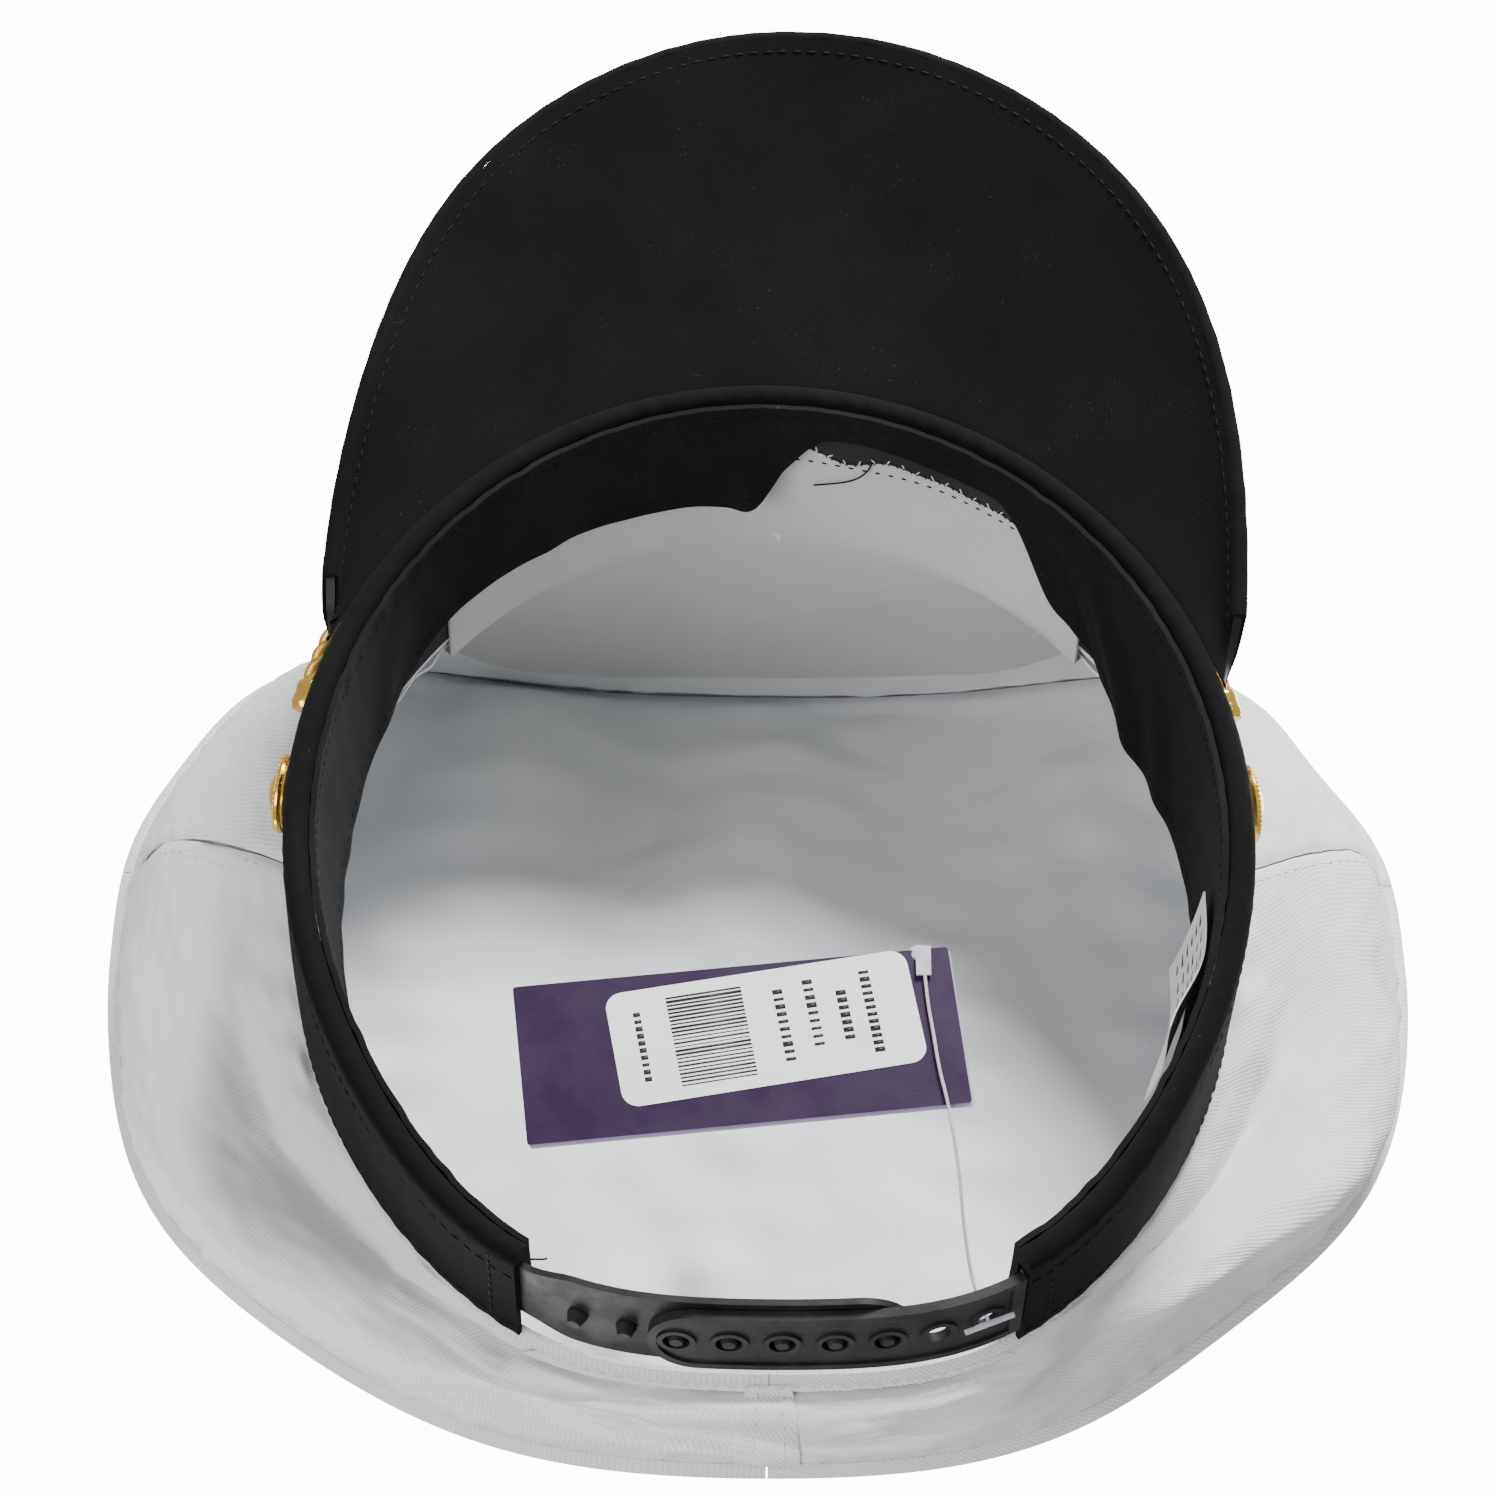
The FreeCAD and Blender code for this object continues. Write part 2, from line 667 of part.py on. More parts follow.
def peg_strap():
    """Inner half of the strap: seven pegs that point outward, its tail in the band's slot."""
    inset = peg_inset()
    slot_end = 360 - BAND_END

    def edge(full, tail):
        return lambda deg: full + (tail - full) * ease(deg, slot_end - 7, slot_end - 0.5)

    strap = upright(spaced(*PEG_STRAP_ENDS, 41), lambda deg, z: inset, 1.2,
                    edge(PEG_STRAP_Z[0], TAIL_Z[0]), edge(PEG_STRAP_Z[1], TAIL_Z[1]), 4)
    strap = rounded_end(strap, PEG_STRAP_ENDS[0], PEG_STRAP_Z, -1)
    pegs = []
    for k in range(-2, 5):
        peg = turned([(0, PEG_H), (PEG_TIP_R, PEG_H), (PEG_R, 0.5), (PEG_R, -0.4), (0, -0.4)])
        pegs.append(on_strap(peg, FIRST_PEG - PEG_PITCH * k, inset))
    return strap.fuse(pegs).Solids[0]


# ---- badge and label ----

def badge_spot(right, up):
    """A point on the front panel's outer face, from the badge's centre."""
    deg = math.degrees(math.asin(max(-1.0, min(1.0, right / 107.0))))
    row = wall_rows([deg])[0][6:]
    length = sum((b - a).Length for a, b in zip(row, row[1:]))
    return along_row(row, BADGE_V + up / length)


def badge_patch():
    """Oval felt patch on the front panel."""
    rows = []
    for u in spaced(-1, 1, 17):
        half = BADGE_R * 1.12 * math.sqrt(max(0.03, 1 - u * u))
        rows.append([badge_spot(BADGE_R * u, half * v) for v in spaced(-1, 1, 9)])
    return skin(offset(rows, -0.08), offset(rows, -1.1))


def on_badge(shape):
    """Moves a shape made on +Z, +Y up, to just off the felt's outermost place."""
    up = (badge_spot(0, 8) - badge_spot(0, -8)).normalize()
    normal = Vector(-1, 0, 0).cross(up).normalize()
    if normal.y > 0:
        normal = normal * -1
    spin = FreeCAD.Rotation(up.cross(normal), up, normal, "ZYX")
    moved = shape.copy()
    moved.Placement = FreeCAD.Placement(badge_spot(0, 0) + normal * 1.25, spin)
    return moved


def badge_anchor():
    """Plain anchor: shank, stock, ring and two curved arms."""
    def bar(x0, y0, x1, y1):
        return Part.makeBox(x1 - x0, y1 - y0, 1.3, Vector(x0, y0, 0))
    anchor = bar(-1.1, -11, 1.1, 8).fuse([bar(-6.5, 4.6, 6.5, 6.6)])
    eye = Part.makeCylinder(2.9, 1.3, Vector(0, 10, 0)).cut(
        Part.makeCylinder(1.5, 1.3, Vector(0, 10, 0)))
    arms = Part.makeCylinder(10.0, 1.3, Vector(0, -2, 0)).cut(
        Part.makeCylinder(7.9, 1.3, Vector(0, -1.4, 0))).common(bar(-12, -13, 12, -4.5))
    anchor = anchor.fuse([eye, arms])
    for side in (-1, 1):
        tip = Part.Face(Part.makePolygon([Vector(side * 6.0, -5.4, 0), Vector(side * 12.0, -6.4, 0),
                                          Vector(side * 9.8, -1.2, 0), Vector(side * 6.0, -5.4, 0)]))
        anchor = anchor.fuse(tip.extrude(Vector(0, 0, 1.3)))
    return on_badge(anchor.removeSplitter().Solids[0])


def badge_rope():
    """Rope ring round the anchor."""
    return on_badge(Part.makeTorus(16.5, 1.2, Vector(0, 0, 1.2)))


def care_label():
    """Woven label that hangs from the lining over the sweatband on the wearer's left."""
    def inset(deg, z):
        return 9.6 + 0.8 * math.sin(math.radians(20 * deg))
    return upright(spaced(104, 122, 9), inset, 0.3, lambda deg: 19.0, lambda deg: 45.0)


# ---- swing tag ----

def tag_tbar():
    """Cross bar that holds the tag's filament outside the strap's last hole."""
    bar = Part.makeCylinder(TBAR_R, TBAR_LENGTH, Vector(-TBAR_LENGTH / 2, 0, 0), Vector(1, 0, 0))
    normal = ring_normal(hole_degs()[TBAR_HOLE])
    ahead = Vector(0, 0, 1).cross(normal)
    spin = FreeCAD.Rotation(ahead, normal.cross(ahead), normal, "ZXY")
    centre = ring(hole_degs()[TBAR_HOLE], STRAP_OUTSIDE - STRAP_RIM - TBAR_R - 0.12, STRAP_MID_Z)
    bar.Placement = FreeCAD.Placement(centre, spin)
    return bar


def card(size, angle, centre, z, thickness, corner):
    """A flat card with round corners, lying level."""
    box = Part.makeBox(size[0], size[1], thickness, Vector(-size[0] / 2, -size[1] / 2, 0))
    box = box.makeFillet(corner, [e for e in box.Edges if abs(e.tangentAt(0).z) > 0.9])
    box.Placement = FreeCAD.Placement(Vector(centre[0], centre[1], z),
                                      FreeCAD.Rotation(Vector(0, 0, 1), angle))
    return box


def tag_leaf(z, shift):
    leaf = card(TAG_SIZE, TAG_ANGLE, (TAG_CENTRE[0] + shift, TAG_CENTRE[1] + shift), z, TAG_LEAF, 0.6)
    return leaf.cut(Part.makeCylinder(TAG_HOLE_R, 4, Vector(TAG_HOLE[0], TAG_HOLE[1], 0))).Solids[0]


def swing_tag():
    return tag_leaf(TAG_Z, 0)


def tag_back_leaf():
    """The folded tag's other leaf, a little out of line with the first."""
    return tag_leaf(TAG_Z + TAG_LEAF + 0.02, 0.4)


def tag_sticker():
    return card(STICKER_SIZE, STICKER_ANGLE, STICKER_CENTRE, TAG_Z - STICKER_T - 0.01, STICKER_T, 3.0)


def tag_paddle():
    """Flat end of the filament under the tag, its neck through the tag's hole to a small head."""
    x, y = TAG_HOLE
    end = FILAMENT_ROUTE[-1]
    top = TAG_Z + 2 * TAG_LEAF + 0.1
    tab = Part.makeBox(2.6, end[1] - y + 1.2, 0.5, Vector(end[0] - 1.5, y - 1.2, 0.09))
    neck = Part.makeCylinder(0.5, top - 0.1, Vector(x, y, 0.2))
    head = Part.makeCylinder(2.2, 0.4, Vector(x, y, top))
    return tab.fuse([neck, head]).Solids[0]


def tag_filament():
    """Straight runs joined by arcs that touch them, along the filament's route."""
    points = [Vector(*p) for p in FILAMENT_ROUTE]
    edges, radii, last = [], [], points[0]
    for before, corner, after in zip(points, points[1:], points[2:]):
        into, out = (corner - before), (after - corner)
        reach = 0.45 * min(into.Length, out.Length)
        into.normalize()
        out.normalize()
        half = into.getAngle(out) / 2
        radius = reach / math.tan(half)
        aside = (out - into).normalize()
        start, finish = corner - into * reach, corner + out * reach
        middle = corner + aside * (radius / math.cos(half) - radius)
        edges += [Part.LineSegment(last, start).toShape(), Part.Arc(start, middle, finish).toShape()]
        radii.append(round(radius, 1))
        last = finish
    edges.append(Part.LineSegment(last, points[-1]).toShape())
    path = Part.Wire(edges)
    disc = Part.Wire(Part.makeCircle(FILAMENT_R, points[0], points[1] - points[0]))
    tube = path.makePipeShell([disc], True, False)
    print("filament: length", round(path.Length, 1), "radii", radii,
          "volume over section x length", round(tube.Volume / (math.pi * FILAMENT_R ** 2 * path.Length), 3))
    return tube


NODES = {
    "hat_band": hat_band, "band_stiffener": band_stiffener, "sweatband": sweatband,
    "seam_tape": seam_tape, "front_panel": front_panel, "left_quarter": left_quarter,
    "right_quarter": right_quarter, "back_seam": back_seam, "rear_hem": rear_hem,
    "side_lining": side_lining, "crown_top": crown_top, "crown_lining": crown_lining,
    "front_stiffener": front_stiffener, "visor_board": visor_board,
    "visor_top_cover": visor_top_cover, "visor_under_cover": visor_under_cover,
    "visor_edge": visor_edge, "chin_cord": chin_cord, "hole_strap": hole_strap,
    "hole_strap_anchor": hole_strap_anchor, "peg_strap": peg_strap, "badge_patch": badge_patch,
    "badge_anchor": badge_anchor, "badge_rope": badge_rope, "care_label": care_label,
    "tag_tbar": tag_tbar,
}
LYING_NODES = {
    "swing_tag": swing_tag, "tag_back_leaf": tag_back_leaf, "tag_sticker": tag_sticker,
    "tag_paddle": tag_paddle, "tag_filament": tag_filament,
}
for name, make in (("shell", button_shell), ("back", button_back), ("washer", button_washer)):
    NODES["left_button_" + name] = lambda make=make: make(1)
    NODES["right_button_" + name] = lambda make=make: make(-1)


def stand(shapes):
    """Tips the shapes back onto the visor's tip and the band's rear, with the middle of their
    box over the origin and its underside at 0. Returns the placement it used."""
    tip = FreeCAD.Rotation(Vector(1, 0, 0), -STAND_TILT)
    box = FreeCAD.BoundBox()
    for shape in shapes:
        turned_shape = shape.copy()
        turned_shape.Placement = FreeCAD.Placement(Vector(), tip).multiply(shape.Placement)
        box.add(turned_shape.optimalBoundingBox())
    place = FreeCAD.Placement(Vector(-box.Center.x, -box.Center.y, -box.ZMin), tip)
    for shape in shapes:
        shape.Placement = place.multiply(shape.Placement)
    return place


def main():
    os.makedirs("parts", exist_ok=True)
    shapes = {name: make() for name, make in NODES.items()}
    place = stand(shapes.values())
    shapes.update({name: make() for name, make in LYING_NODES.items()})
    for name, shape in shapes.items():
        shape.exportStep("parts/%s.step" % name)
        box = shape.optimalBoundingBox()
        print("%-18s %9.1f mm3  valid %s  z %.2f to %.2f" % (name, shape.Volume, shape.isValid(),
                                                             box.ZMin, box.ZMax))
    print("band frame stands at", place)
    for name, deg, inset, z in (("left button", BUTTON_AT, 0, BUTTON_Z),
                                ("right button", -BUTTON_AT, 0, BUTTON_Z),
                                ("strap hinge", HOLE_STRAP_ENDS[0], -0.4, STRAP_MID_Z),
                                ("cross bar", hole_degs()[TBAR_HOLE], -0.97, STRAP_MID_Z),
                                ("open hole", hole_degs()[5], 0.75, STRAP_MID_Z)):
        print(name, place.multVec(ring(deg, inset, z)), place.Rotation.multVec(ring_normal(deg)))


if __name__ == "__main__":
    main()
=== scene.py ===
"""Yacht cap: cloth, stitching, cords, metal, plastic and card on the cap's fixed frame."""

import json
import logging
import math
from dataclasses import dataclass
from enum import Enum
from typing import Any, Optional, Sequence, Union

import bmesh
import bpy
import numpy as np
from mathutils import Matrix, Vector


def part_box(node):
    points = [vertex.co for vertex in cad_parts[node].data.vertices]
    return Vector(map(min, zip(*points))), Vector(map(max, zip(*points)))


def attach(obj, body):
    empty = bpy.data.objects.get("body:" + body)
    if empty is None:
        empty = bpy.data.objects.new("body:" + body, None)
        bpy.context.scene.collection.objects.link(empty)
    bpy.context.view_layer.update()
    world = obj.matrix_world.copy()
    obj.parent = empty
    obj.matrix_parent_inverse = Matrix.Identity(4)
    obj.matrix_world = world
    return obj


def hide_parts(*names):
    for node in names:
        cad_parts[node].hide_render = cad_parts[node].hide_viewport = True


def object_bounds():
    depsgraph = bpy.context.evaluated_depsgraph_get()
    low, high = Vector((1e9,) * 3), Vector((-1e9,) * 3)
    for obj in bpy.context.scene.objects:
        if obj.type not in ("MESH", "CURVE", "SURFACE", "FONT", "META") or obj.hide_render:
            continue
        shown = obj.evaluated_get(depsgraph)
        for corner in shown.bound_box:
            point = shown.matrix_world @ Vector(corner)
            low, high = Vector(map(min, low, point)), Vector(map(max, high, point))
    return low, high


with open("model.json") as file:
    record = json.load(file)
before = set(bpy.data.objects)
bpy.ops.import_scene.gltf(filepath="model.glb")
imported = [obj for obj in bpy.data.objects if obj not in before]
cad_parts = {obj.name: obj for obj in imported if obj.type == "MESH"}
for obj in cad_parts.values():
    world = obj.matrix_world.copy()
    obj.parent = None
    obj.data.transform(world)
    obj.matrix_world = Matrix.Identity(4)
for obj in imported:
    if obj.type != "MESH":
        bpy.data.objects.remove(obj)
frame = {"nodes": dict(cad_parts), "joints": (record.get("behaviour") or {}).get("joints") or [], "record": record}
CAD_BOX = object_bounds()

log = logging.getLogger("yacht_cap")

Array = np.ndarray
Colour = tuple[float, float, float]
MM = 0.001
CLOTH_MAP = "cloth"         # UV map of every cloth piece, in millimetres along warp and weft
FACING = "facing"           # path attribute: the way a stitch's upper side looks


# ---- small mathematics ----

def ease(value: Array, low: float, high: float) -> Array:
    """0 below low, 1 above high and smooth between."""
    s = np.clip((np.asarray(value, float) - low) / (high - low), 0.0, 1.0)
    return s * s * (3 - 2 * s)


def bump(value: Array, centre: float, width: float) -> Array:
    """A smooth bump, 1 at its centre."""
    return np.exp(-((value - centre) / width) ** 2)


def from_front(deg: Array) -> Array:
    """How far round an angle is from the front centre, 0 to 180, on either side."""
    return np.abs((deg + 180) % 360 - 180)


def waves(t: Array, seed: int, low: float, high: float, count: int = 7) -> Array:
    """An irregular wave of about unit height.

    Args:
        t: Where to read it.
        seed: Picks the wave.
        low: Fewest turns per unit of t.
        high: Most turns per unit of t.
        count: How many waves are added up.

    Returns:
        Its height, the shape of t.
    """
    rng = np.random.default_rng(seed)
    total = np.zeros_like(np.asarray(t, float))
    for _ in range(count):
        total += np.cos(2 * math.pi * (rng.uniform(low, high) * t + rng.random()))
    return total / math.sqrt(count / 2)


def swell(x: Array, y: Array, seed: int, low: float, high: float, count: int = 12) -> Array:
    """An irregular rolling surface of about unit height, as waves() but over two directions.

    Args:
        x: Where to read it, one way.
        y: Where to read it, the other way.
        seed: Picks the surface.
        low: Fewest turns per unit.
        high: Most turns per unit.
        count: How many waves are added up.

    Returns:
        Its height, the shape of x and y together.
    """
    rng = np.random.default_rng(seed)
    total = np.zeros(np.broadcast(x, y).shape)
    for _ in range(count):
        turns, way, phase = rng.uniform(low, high), rng.uniform(0, 2 * math.pi), rng.random()
        total += np.cos(2 * math.pi * (turns * (x * math.cos(way) + y * math.sin(way)) + phase))
    return total / math.sqrt(count / 2)


def unit(vectors: Array) -> Array:
    """The vectors at length 1."""
    return vectors / np.maximum(np.linalg.norm(vectors, axis=-1, keepdims=True), 1e-12)


# ---- the cap's shape, in the band's own millimetres ----

@dataclass(frozen=True)
class CapShape:
    """The cap's driving dimensions and the surfaces they give.

    Millimetres in the band's frame: the origin is the head opening's centre, z is up towards the
    crown, -y the visor, +x the wearer's left. Angles are degrees from the front towards +x.
    """

    half_width: float = 88.0
    front: float = 102.5
    rear: float = 104.5
    rear_square: float = 0.38
    height: float = 40.0
    end_height: float = 26.0
    band_end: float = 150.7
    leg: float = 1.4
    slot: float = 2.0
    lip: float = 1.3
    lip_height: float = 8.0
    slot_floor: float = 3.5
    sweat_height: float = 36.0
    cloth: float = 0.8
    top_cloth: float = 0.9
    tuck: float = 6.0
    arch_tuck: float = 0.6
    seam: float = 83.5
    rim_half_width: float = 129.5
    rim_centre: float = -20.0
    rim_front: float = 92.0
    rim_front_power: float = 2.85
    rim_rear: float = 132.0
    rim_rear_power: float = 2.05
    rim_side_z: float = 82.0
    rim_rise: float = 34.0
    rim_drop: float = 37.0
    rim_peak_power: float = 7.0
    rim_ripple: float = 0.006
    rim_slack: float = 0.035
    rim_slack_at: float = 134.0
    rim_slack_width: float = 23.0
    rim_pull: tuple[float, float, float] = (0.030, 66.0, 15.0)      # share, angle, width
    rim_far_pull: tuple[float, float, float] = (0.016, 290.0, 14.0)
    top_dome: float = 7.0
    top_tilt: float = 0.24
    lining_gap: float = 2.2
    visor_end: float = 70.5
    visor_turn: float = 2.6
    visor_half_width: float = 84.5
    visor_centre: float = -45.0
    visor_reach: float = 119.0
    visor_power: float = 2.1
    visor_slope: float = 28.0
    visor_z: float = 2.7
    visor_camber: float = 1.4
    visor_half_thickness: float = 1.6
    visor_flare: tuple[float, float, float] = (5.6, 0.56, 0.36)     # wider by, place, width
    visor_waist: tuple[float, float, float] = (3.2, -0.5, 0.26)
    visor_overhang: float = 4.2

    @property
    def roll(self) -> float:
        """Radius of the band's rolled lower edge."""
        return (self.leg + self.slot + self.lip) / 2

    def outline(self, deg: Array) -> Array:
        """The band's outer outline in plan.

        Args:
            deg: Degrees round the band from the front.

        Returns:
            Plan points.
        """
        t = np.radians(deg)
        s, c = np.sin(t), np.cos(t)
        behind = -self.rear * c * (1 + self.rear_square * s * s * c ** 4)
        return np.stack([self.half_width * s, np.where(c > 0, -self.front * c, behind)], -1)

    def outward(self, deg: Array) -> Array:
        """The band's outward normal in plan."""
        along = self.outline(deg + 0.05) - self.outline(deg - 0.05)
        return unit(np.stack([along[..., 1], -along[..., 0]], -1))

    def ring(self, deg: Array, inset: Array, z: Array) -> Array:
        """Points at angles round the band, inset from its outer face.

        Args:
            deg: Degrees round the band from the front.
            inset: Depth behind the band's outer face.
            z: Height over the band's lower edge.

        Returns:
            The points.
        """
        deg, inset, z = np.broadcast_arrays(np.asarray(deg, float), inset, z)
        plan = self.outline(deg) - self.outward(deg) * inset[..., None]
        return np.concatenate([plan, z[..., None]], -1)

    def band_top(self, deg: Array) -> Array:
        """Height of the band's upper edge."""
        return self.height + (self.end_height - self.height) * ease(from_front(deg), 100, 148)

    def crown_height(self, x: Array, y: Array) -> Array:
        """Upper face of the crown's top.

        Args:
            x: Place across, towards the wearer's left.
            y: Place along, towards the rear.

        Returns:
            The height at each place.
        """
        ahead = y < self.rim_centre
        reach = np.where(ahead, self.rim_front, self.rim_rear)
        power = np.where(ahead, self.rim_front_power, self.rim_rear_power)
        across, along = np.abs(x) / self.rim_half_width, np.abs(y - self.rim_centre) / reach
        rho = np.maximum((across ** power + along ** power) ** (1 / power), 1e-9)
        forward = (along / rho) ** (power / 2)
        rise = np.where(ahead, self.rim_rise * forward ** self.rim_peak_power,
                        -self.rim_drop * forward ** 1.25)
        rest = rise + self.top_tilt * (y - self.rim_centre) / rho
        share = np.minimum(rho, 1.15)
        return (self.rim_side_z - self.top_tilt * (y - self.rim_centre) + rest * share ** 2.6
                + self.top_dome * (1 - share ** 2))

    def rim_plan(self, deg: Array, rho: Array = 1.0) -> tuple[Array, Array]:
        """Plan points on the rim, or on a smaller copy of it.

        Args:
            deg: Degrees round the band from the front.
            rho: Size of the copy; 1 is the rim.

        Returns:
            x and y of the points.
        """
        t = np.radians(deg)
        s, c = np.sin(t), np.cos(t)
        reach = np.where(c > 0, self.rim_front, self.rim_rear)
        power = np.where(c > 0, self.rim_front_power, self.rim_rear_power)
        slack = self.rim_slack * bump(deg % 360, self.rim_slack_at, self.rim_slack_width)
        sides = sum(share * bump(deg % 360, at, width)
                    for share, at, width in (self.rim_pull, self.rim_far_pull))
        size = rho * (1 + self.rim_ripple * np.cos(9 * t) - slack - sides)
        x = self.rim_half_width * np.sign(s) * np.abs(s) ** (2 / power) * size
        return x, self.rim_centre - reach * np.sign(c) * np.abs(c) ** (2 / power) * size

    def rim_spot(self, deg: Array, out: float, up: float) -> Array:
        """Points near the rim, beside its edge in plan and over the top's face.

        Args:
            deg: Degrees round the band from the front.
            out: Distance out from the edge in plan.
            up: Height over the top's face.

        Returns:
            The points.
        """
        x, y = self.rim_plan(deg, 1.0 + out / 125)
        edge_x, edge_y = self.rim_plan(deg, 0.995)
        return np.stack([x, y, self.crown_height(edge_x, edge_y) + up], -1)

    def wall(self, deg: Array, v: Array) -> Array:
        """Outer face of the crown's side, from v 0 over the band to v 1 under the rim.

        Args:
            deg: Degrees round the band from the front.
            v: 0 over the band to 1 under the rim.

        Returns:
            The points.
        """
        deg, v = np.broadcast_arrays(np.asarray(deg, float), np.asarray(v, float))
        start = self.ring(deg, 0.4, self.band_top(deg) + 1.15)
        x, y = self.rim_plan(deg, 0.99)
        end = np.stack([x, y, self.crown_height(x, y) - self.top_cloth - 0.08], -1)
        ahead = np.maximum(0.0, np.cos(np.radians(deg))) ** 2
        level, rise = 0.72 - 0.22 * ahead, 0.14 + 0.3 * ahead
        bend = start + (end - start) * np.stack([level, level, rise], -1)
        v = v[..., None]
        return start * (1 - v) ** 2 + bend * (2 * v * (1 - v)) + end * v ** 2

    def tucked(self, deg: Array) -> Array:
        """The crown cloth's lower edge behind the band's outer leg, four points a station.

        Args:
            deg: Degrees round the band from the front.

        Returns:
            The grid.
        """
        top, fold = self.band_top(deg), self.leg + 0.15
        tuck = self.tuck + (self.arch_tuck - self.tuck) * ease(from_front(deg), 143, 149)
        places = ((fold, -tuck), (fold, -tuck / 2), (fold - 0.02, 0.1), (fold - 0.4, 0.8))
        return np.stack([self.ring(deg, inset, top + z) for inset, z in places], 1)

    def visor(self, u: Array, v: Array) -> Array:
        """Middle surface of the visor: u -1 to 1 across it, v 0 at the band to 1 at its edge.

        Args:
            u: -1 to 1 across it.
            v: 0 at the band to 1 at its edge.

        Returns:
            The points.
        """
        u, v = np.broadcast_arrays(np.asarray(u, float), np.asarray(v, float))
        root = self.ring(self.visor_end * u + self.visor_turn, -0.85, self.visor_z)
        t = np.radians(90 * u)
        s, c = np.sin(t), np.maximum(0.0, np.cos(t))
        x = self.visor_half_width * np.sign(s) * np.abs(s) ** (2 / self.visor_power)
        flare, waist = self.visor_flare, self.visor_waist
        x = x + flare[0] * bump(u, *flare[1:]) - waist[0] * bump(u, *waist[1:])
        y = self.visor_centre - self.visor_reach * c ** (2 / self.visor_power)
        turn = math.radians(self.visor_turn)
        edge = np.stack([x * math.cos(turn) - y * math.sin(turn),
                         x * math.sin(turn) + y * math.cos(turn),
                         np.full_like(x, self.visor_z)], -1)
        drop = math.tan(math.radians(self.visor_slope)) * np.linalg.norm(edge - root, axis=-1)
        edge[..., 2] -= drop
        edge[..., 1] -= self.visor_overhang * np.maximum(0.0, 1 - (u / 0.85) ** 2) ** 1.5
        point = root + (edge - root) * v[..., None]
        point[..., 2] += self.visor_camber * np.sin(math.pi * v)
        return point


class CapSpace:
    """Carries points from the band's millimetres to the frame's metres."""

    def __init__(self, record: dict[str, Any]) -> None:
        """Reads the band's place and lean from the record.

        Args:
            record: The frame's record.
        """
        mount = next(m for m in record["mounts"] if m["name"] == "head_opening")
        up = unit(-np.array(mount["axis"], float))
        left = np.array([1.0, 0.0, 0.0])
        self.origin = np.array(mount["pos_m"], float)
        self.axes = np.array([left, np.cross(up, left), up])

    def place(self, points: Array) -> Array:
        """Points in metres, in the frame."""
        return self.origin + np.asarray(points, float) @ self.axes * MM

    def turn(self, vectors: Array) -> Array:
        """Directions in the frame."""
        return np.asarray(vectors, float) @ self.axes


SHAPE = CapShape()
SPACE = CapSpace(frame["record"])


# ---- meshes ----

def inward_way(deg: Array) -> Array:
    """The band's inward directions at angles round it."""
    return np.concatenate([-SHAPE.outward(deg), np.zeros((len(deg), 1))], 1)


def run_lengths(lines: Array) -> Array:
    """How far along its own line each point is, for a set of lines."""
    steps = np.linalg.norm(np.diff(lines, axis=1), axis=-1)
    return np.concatenate([np.zeros((len(lines), 1)), np.cumsum(steps, 1)], 1)


def held(v: Array) -> Array:
    """How free the side's cloth is: 0 where it is sewn to the band and the rim, 1 between."""
    return ease(v, 0.0, 0.05) * (1 - ease(v, 0.97, 1.0))


def grid_normals(grid: Array, wrap: bool = False) -> Array:
    """Unit normals of a grid of points, first direction times second.

    Args:
        grid: Grid of points.
        wrap: Whether the first direction closes on itself.

    Returns:
        A normal for each point.
    """
    if wrap:
        along = np.roll(grid, -1, 0) - np.roll(grid, 1, 0)
    else:
        along = np.gradient(grid, axis=0)
    return unit(np.cross(along, np.gradient(grid, axis=1)))


def cloth_lengths(grid: Array, wrap: bool = False) -> Array:
    """Each grid point's place on the flat cloth, in millimetres from its first edge's middle.

    Args:
        grid: Grid of points.
        wrap: Whether the first direction closes on itself.

    Returns:
        A pair for each point; the first row comes again at the end of a wrapped grid.
    """
    closed = np.concatenate([grid, grid[:1]]) if wrap else grid
    across = np.linalg.norm(np.diff(closed, axis=0), axis=-1)
    u = np.concatenate([np.zeros((1, grid.shape[1])), np.cumsum(across, 0)])
    u -= u[len(u) // 2]
    v = np.concatenate([np.zeros((len(closed), 1)),
                        np.cumsum(np.linalg.norm(np.diff(closed, axis=1), axis=-1), 1)], 1)
    return np.stack([u, v], -1)


def mesh_object(name: str, points: Array, faces: list[tuple[int, ...]], uv: Optional[Array] = None,
                sharp: float = 50.0, in_band: bool = True) -> bpy.types.Object:
    """A smooth-shaded mesh object with its place in its mesh.

    Args:
        name: The piece's name.
        points: Its vertices, in the band's millimetres, or in metres if in_band is false.
        faces: Vertex numbers of each face, anticlockwise from outside.
        uv: One pair for each corner of each face, for the cloth map.
        sharp: Edges that turn by more degrees than this stay crisp.
        in_band: Whether the points still have to be carried to the frame.

    Returns:
        The object.
    """
    mesh = bpy.data.meshes.new(name)
    placed = SPACE.place(points) if in_band else points
    mesh.from_pydata(placed.tolist(), [], faces)
    if uv is not None:
        layer = mesh.uv_layers.new(name=CLOTH_MAP)
        layer.data.foreach_set("uv", np.asarray(uv, np.float32).ravel())
    mesh.polygons.foreach_set("use_smooth", [True] * len(mesh.polygons))
    mesh.set_sharp_from_angle(angle=math.radians(sharp))
    mesh.update()
    made = bpy.data.objects.new(name, mesh)
    bpy.context.scene.collection.objects.link(made)
    return made


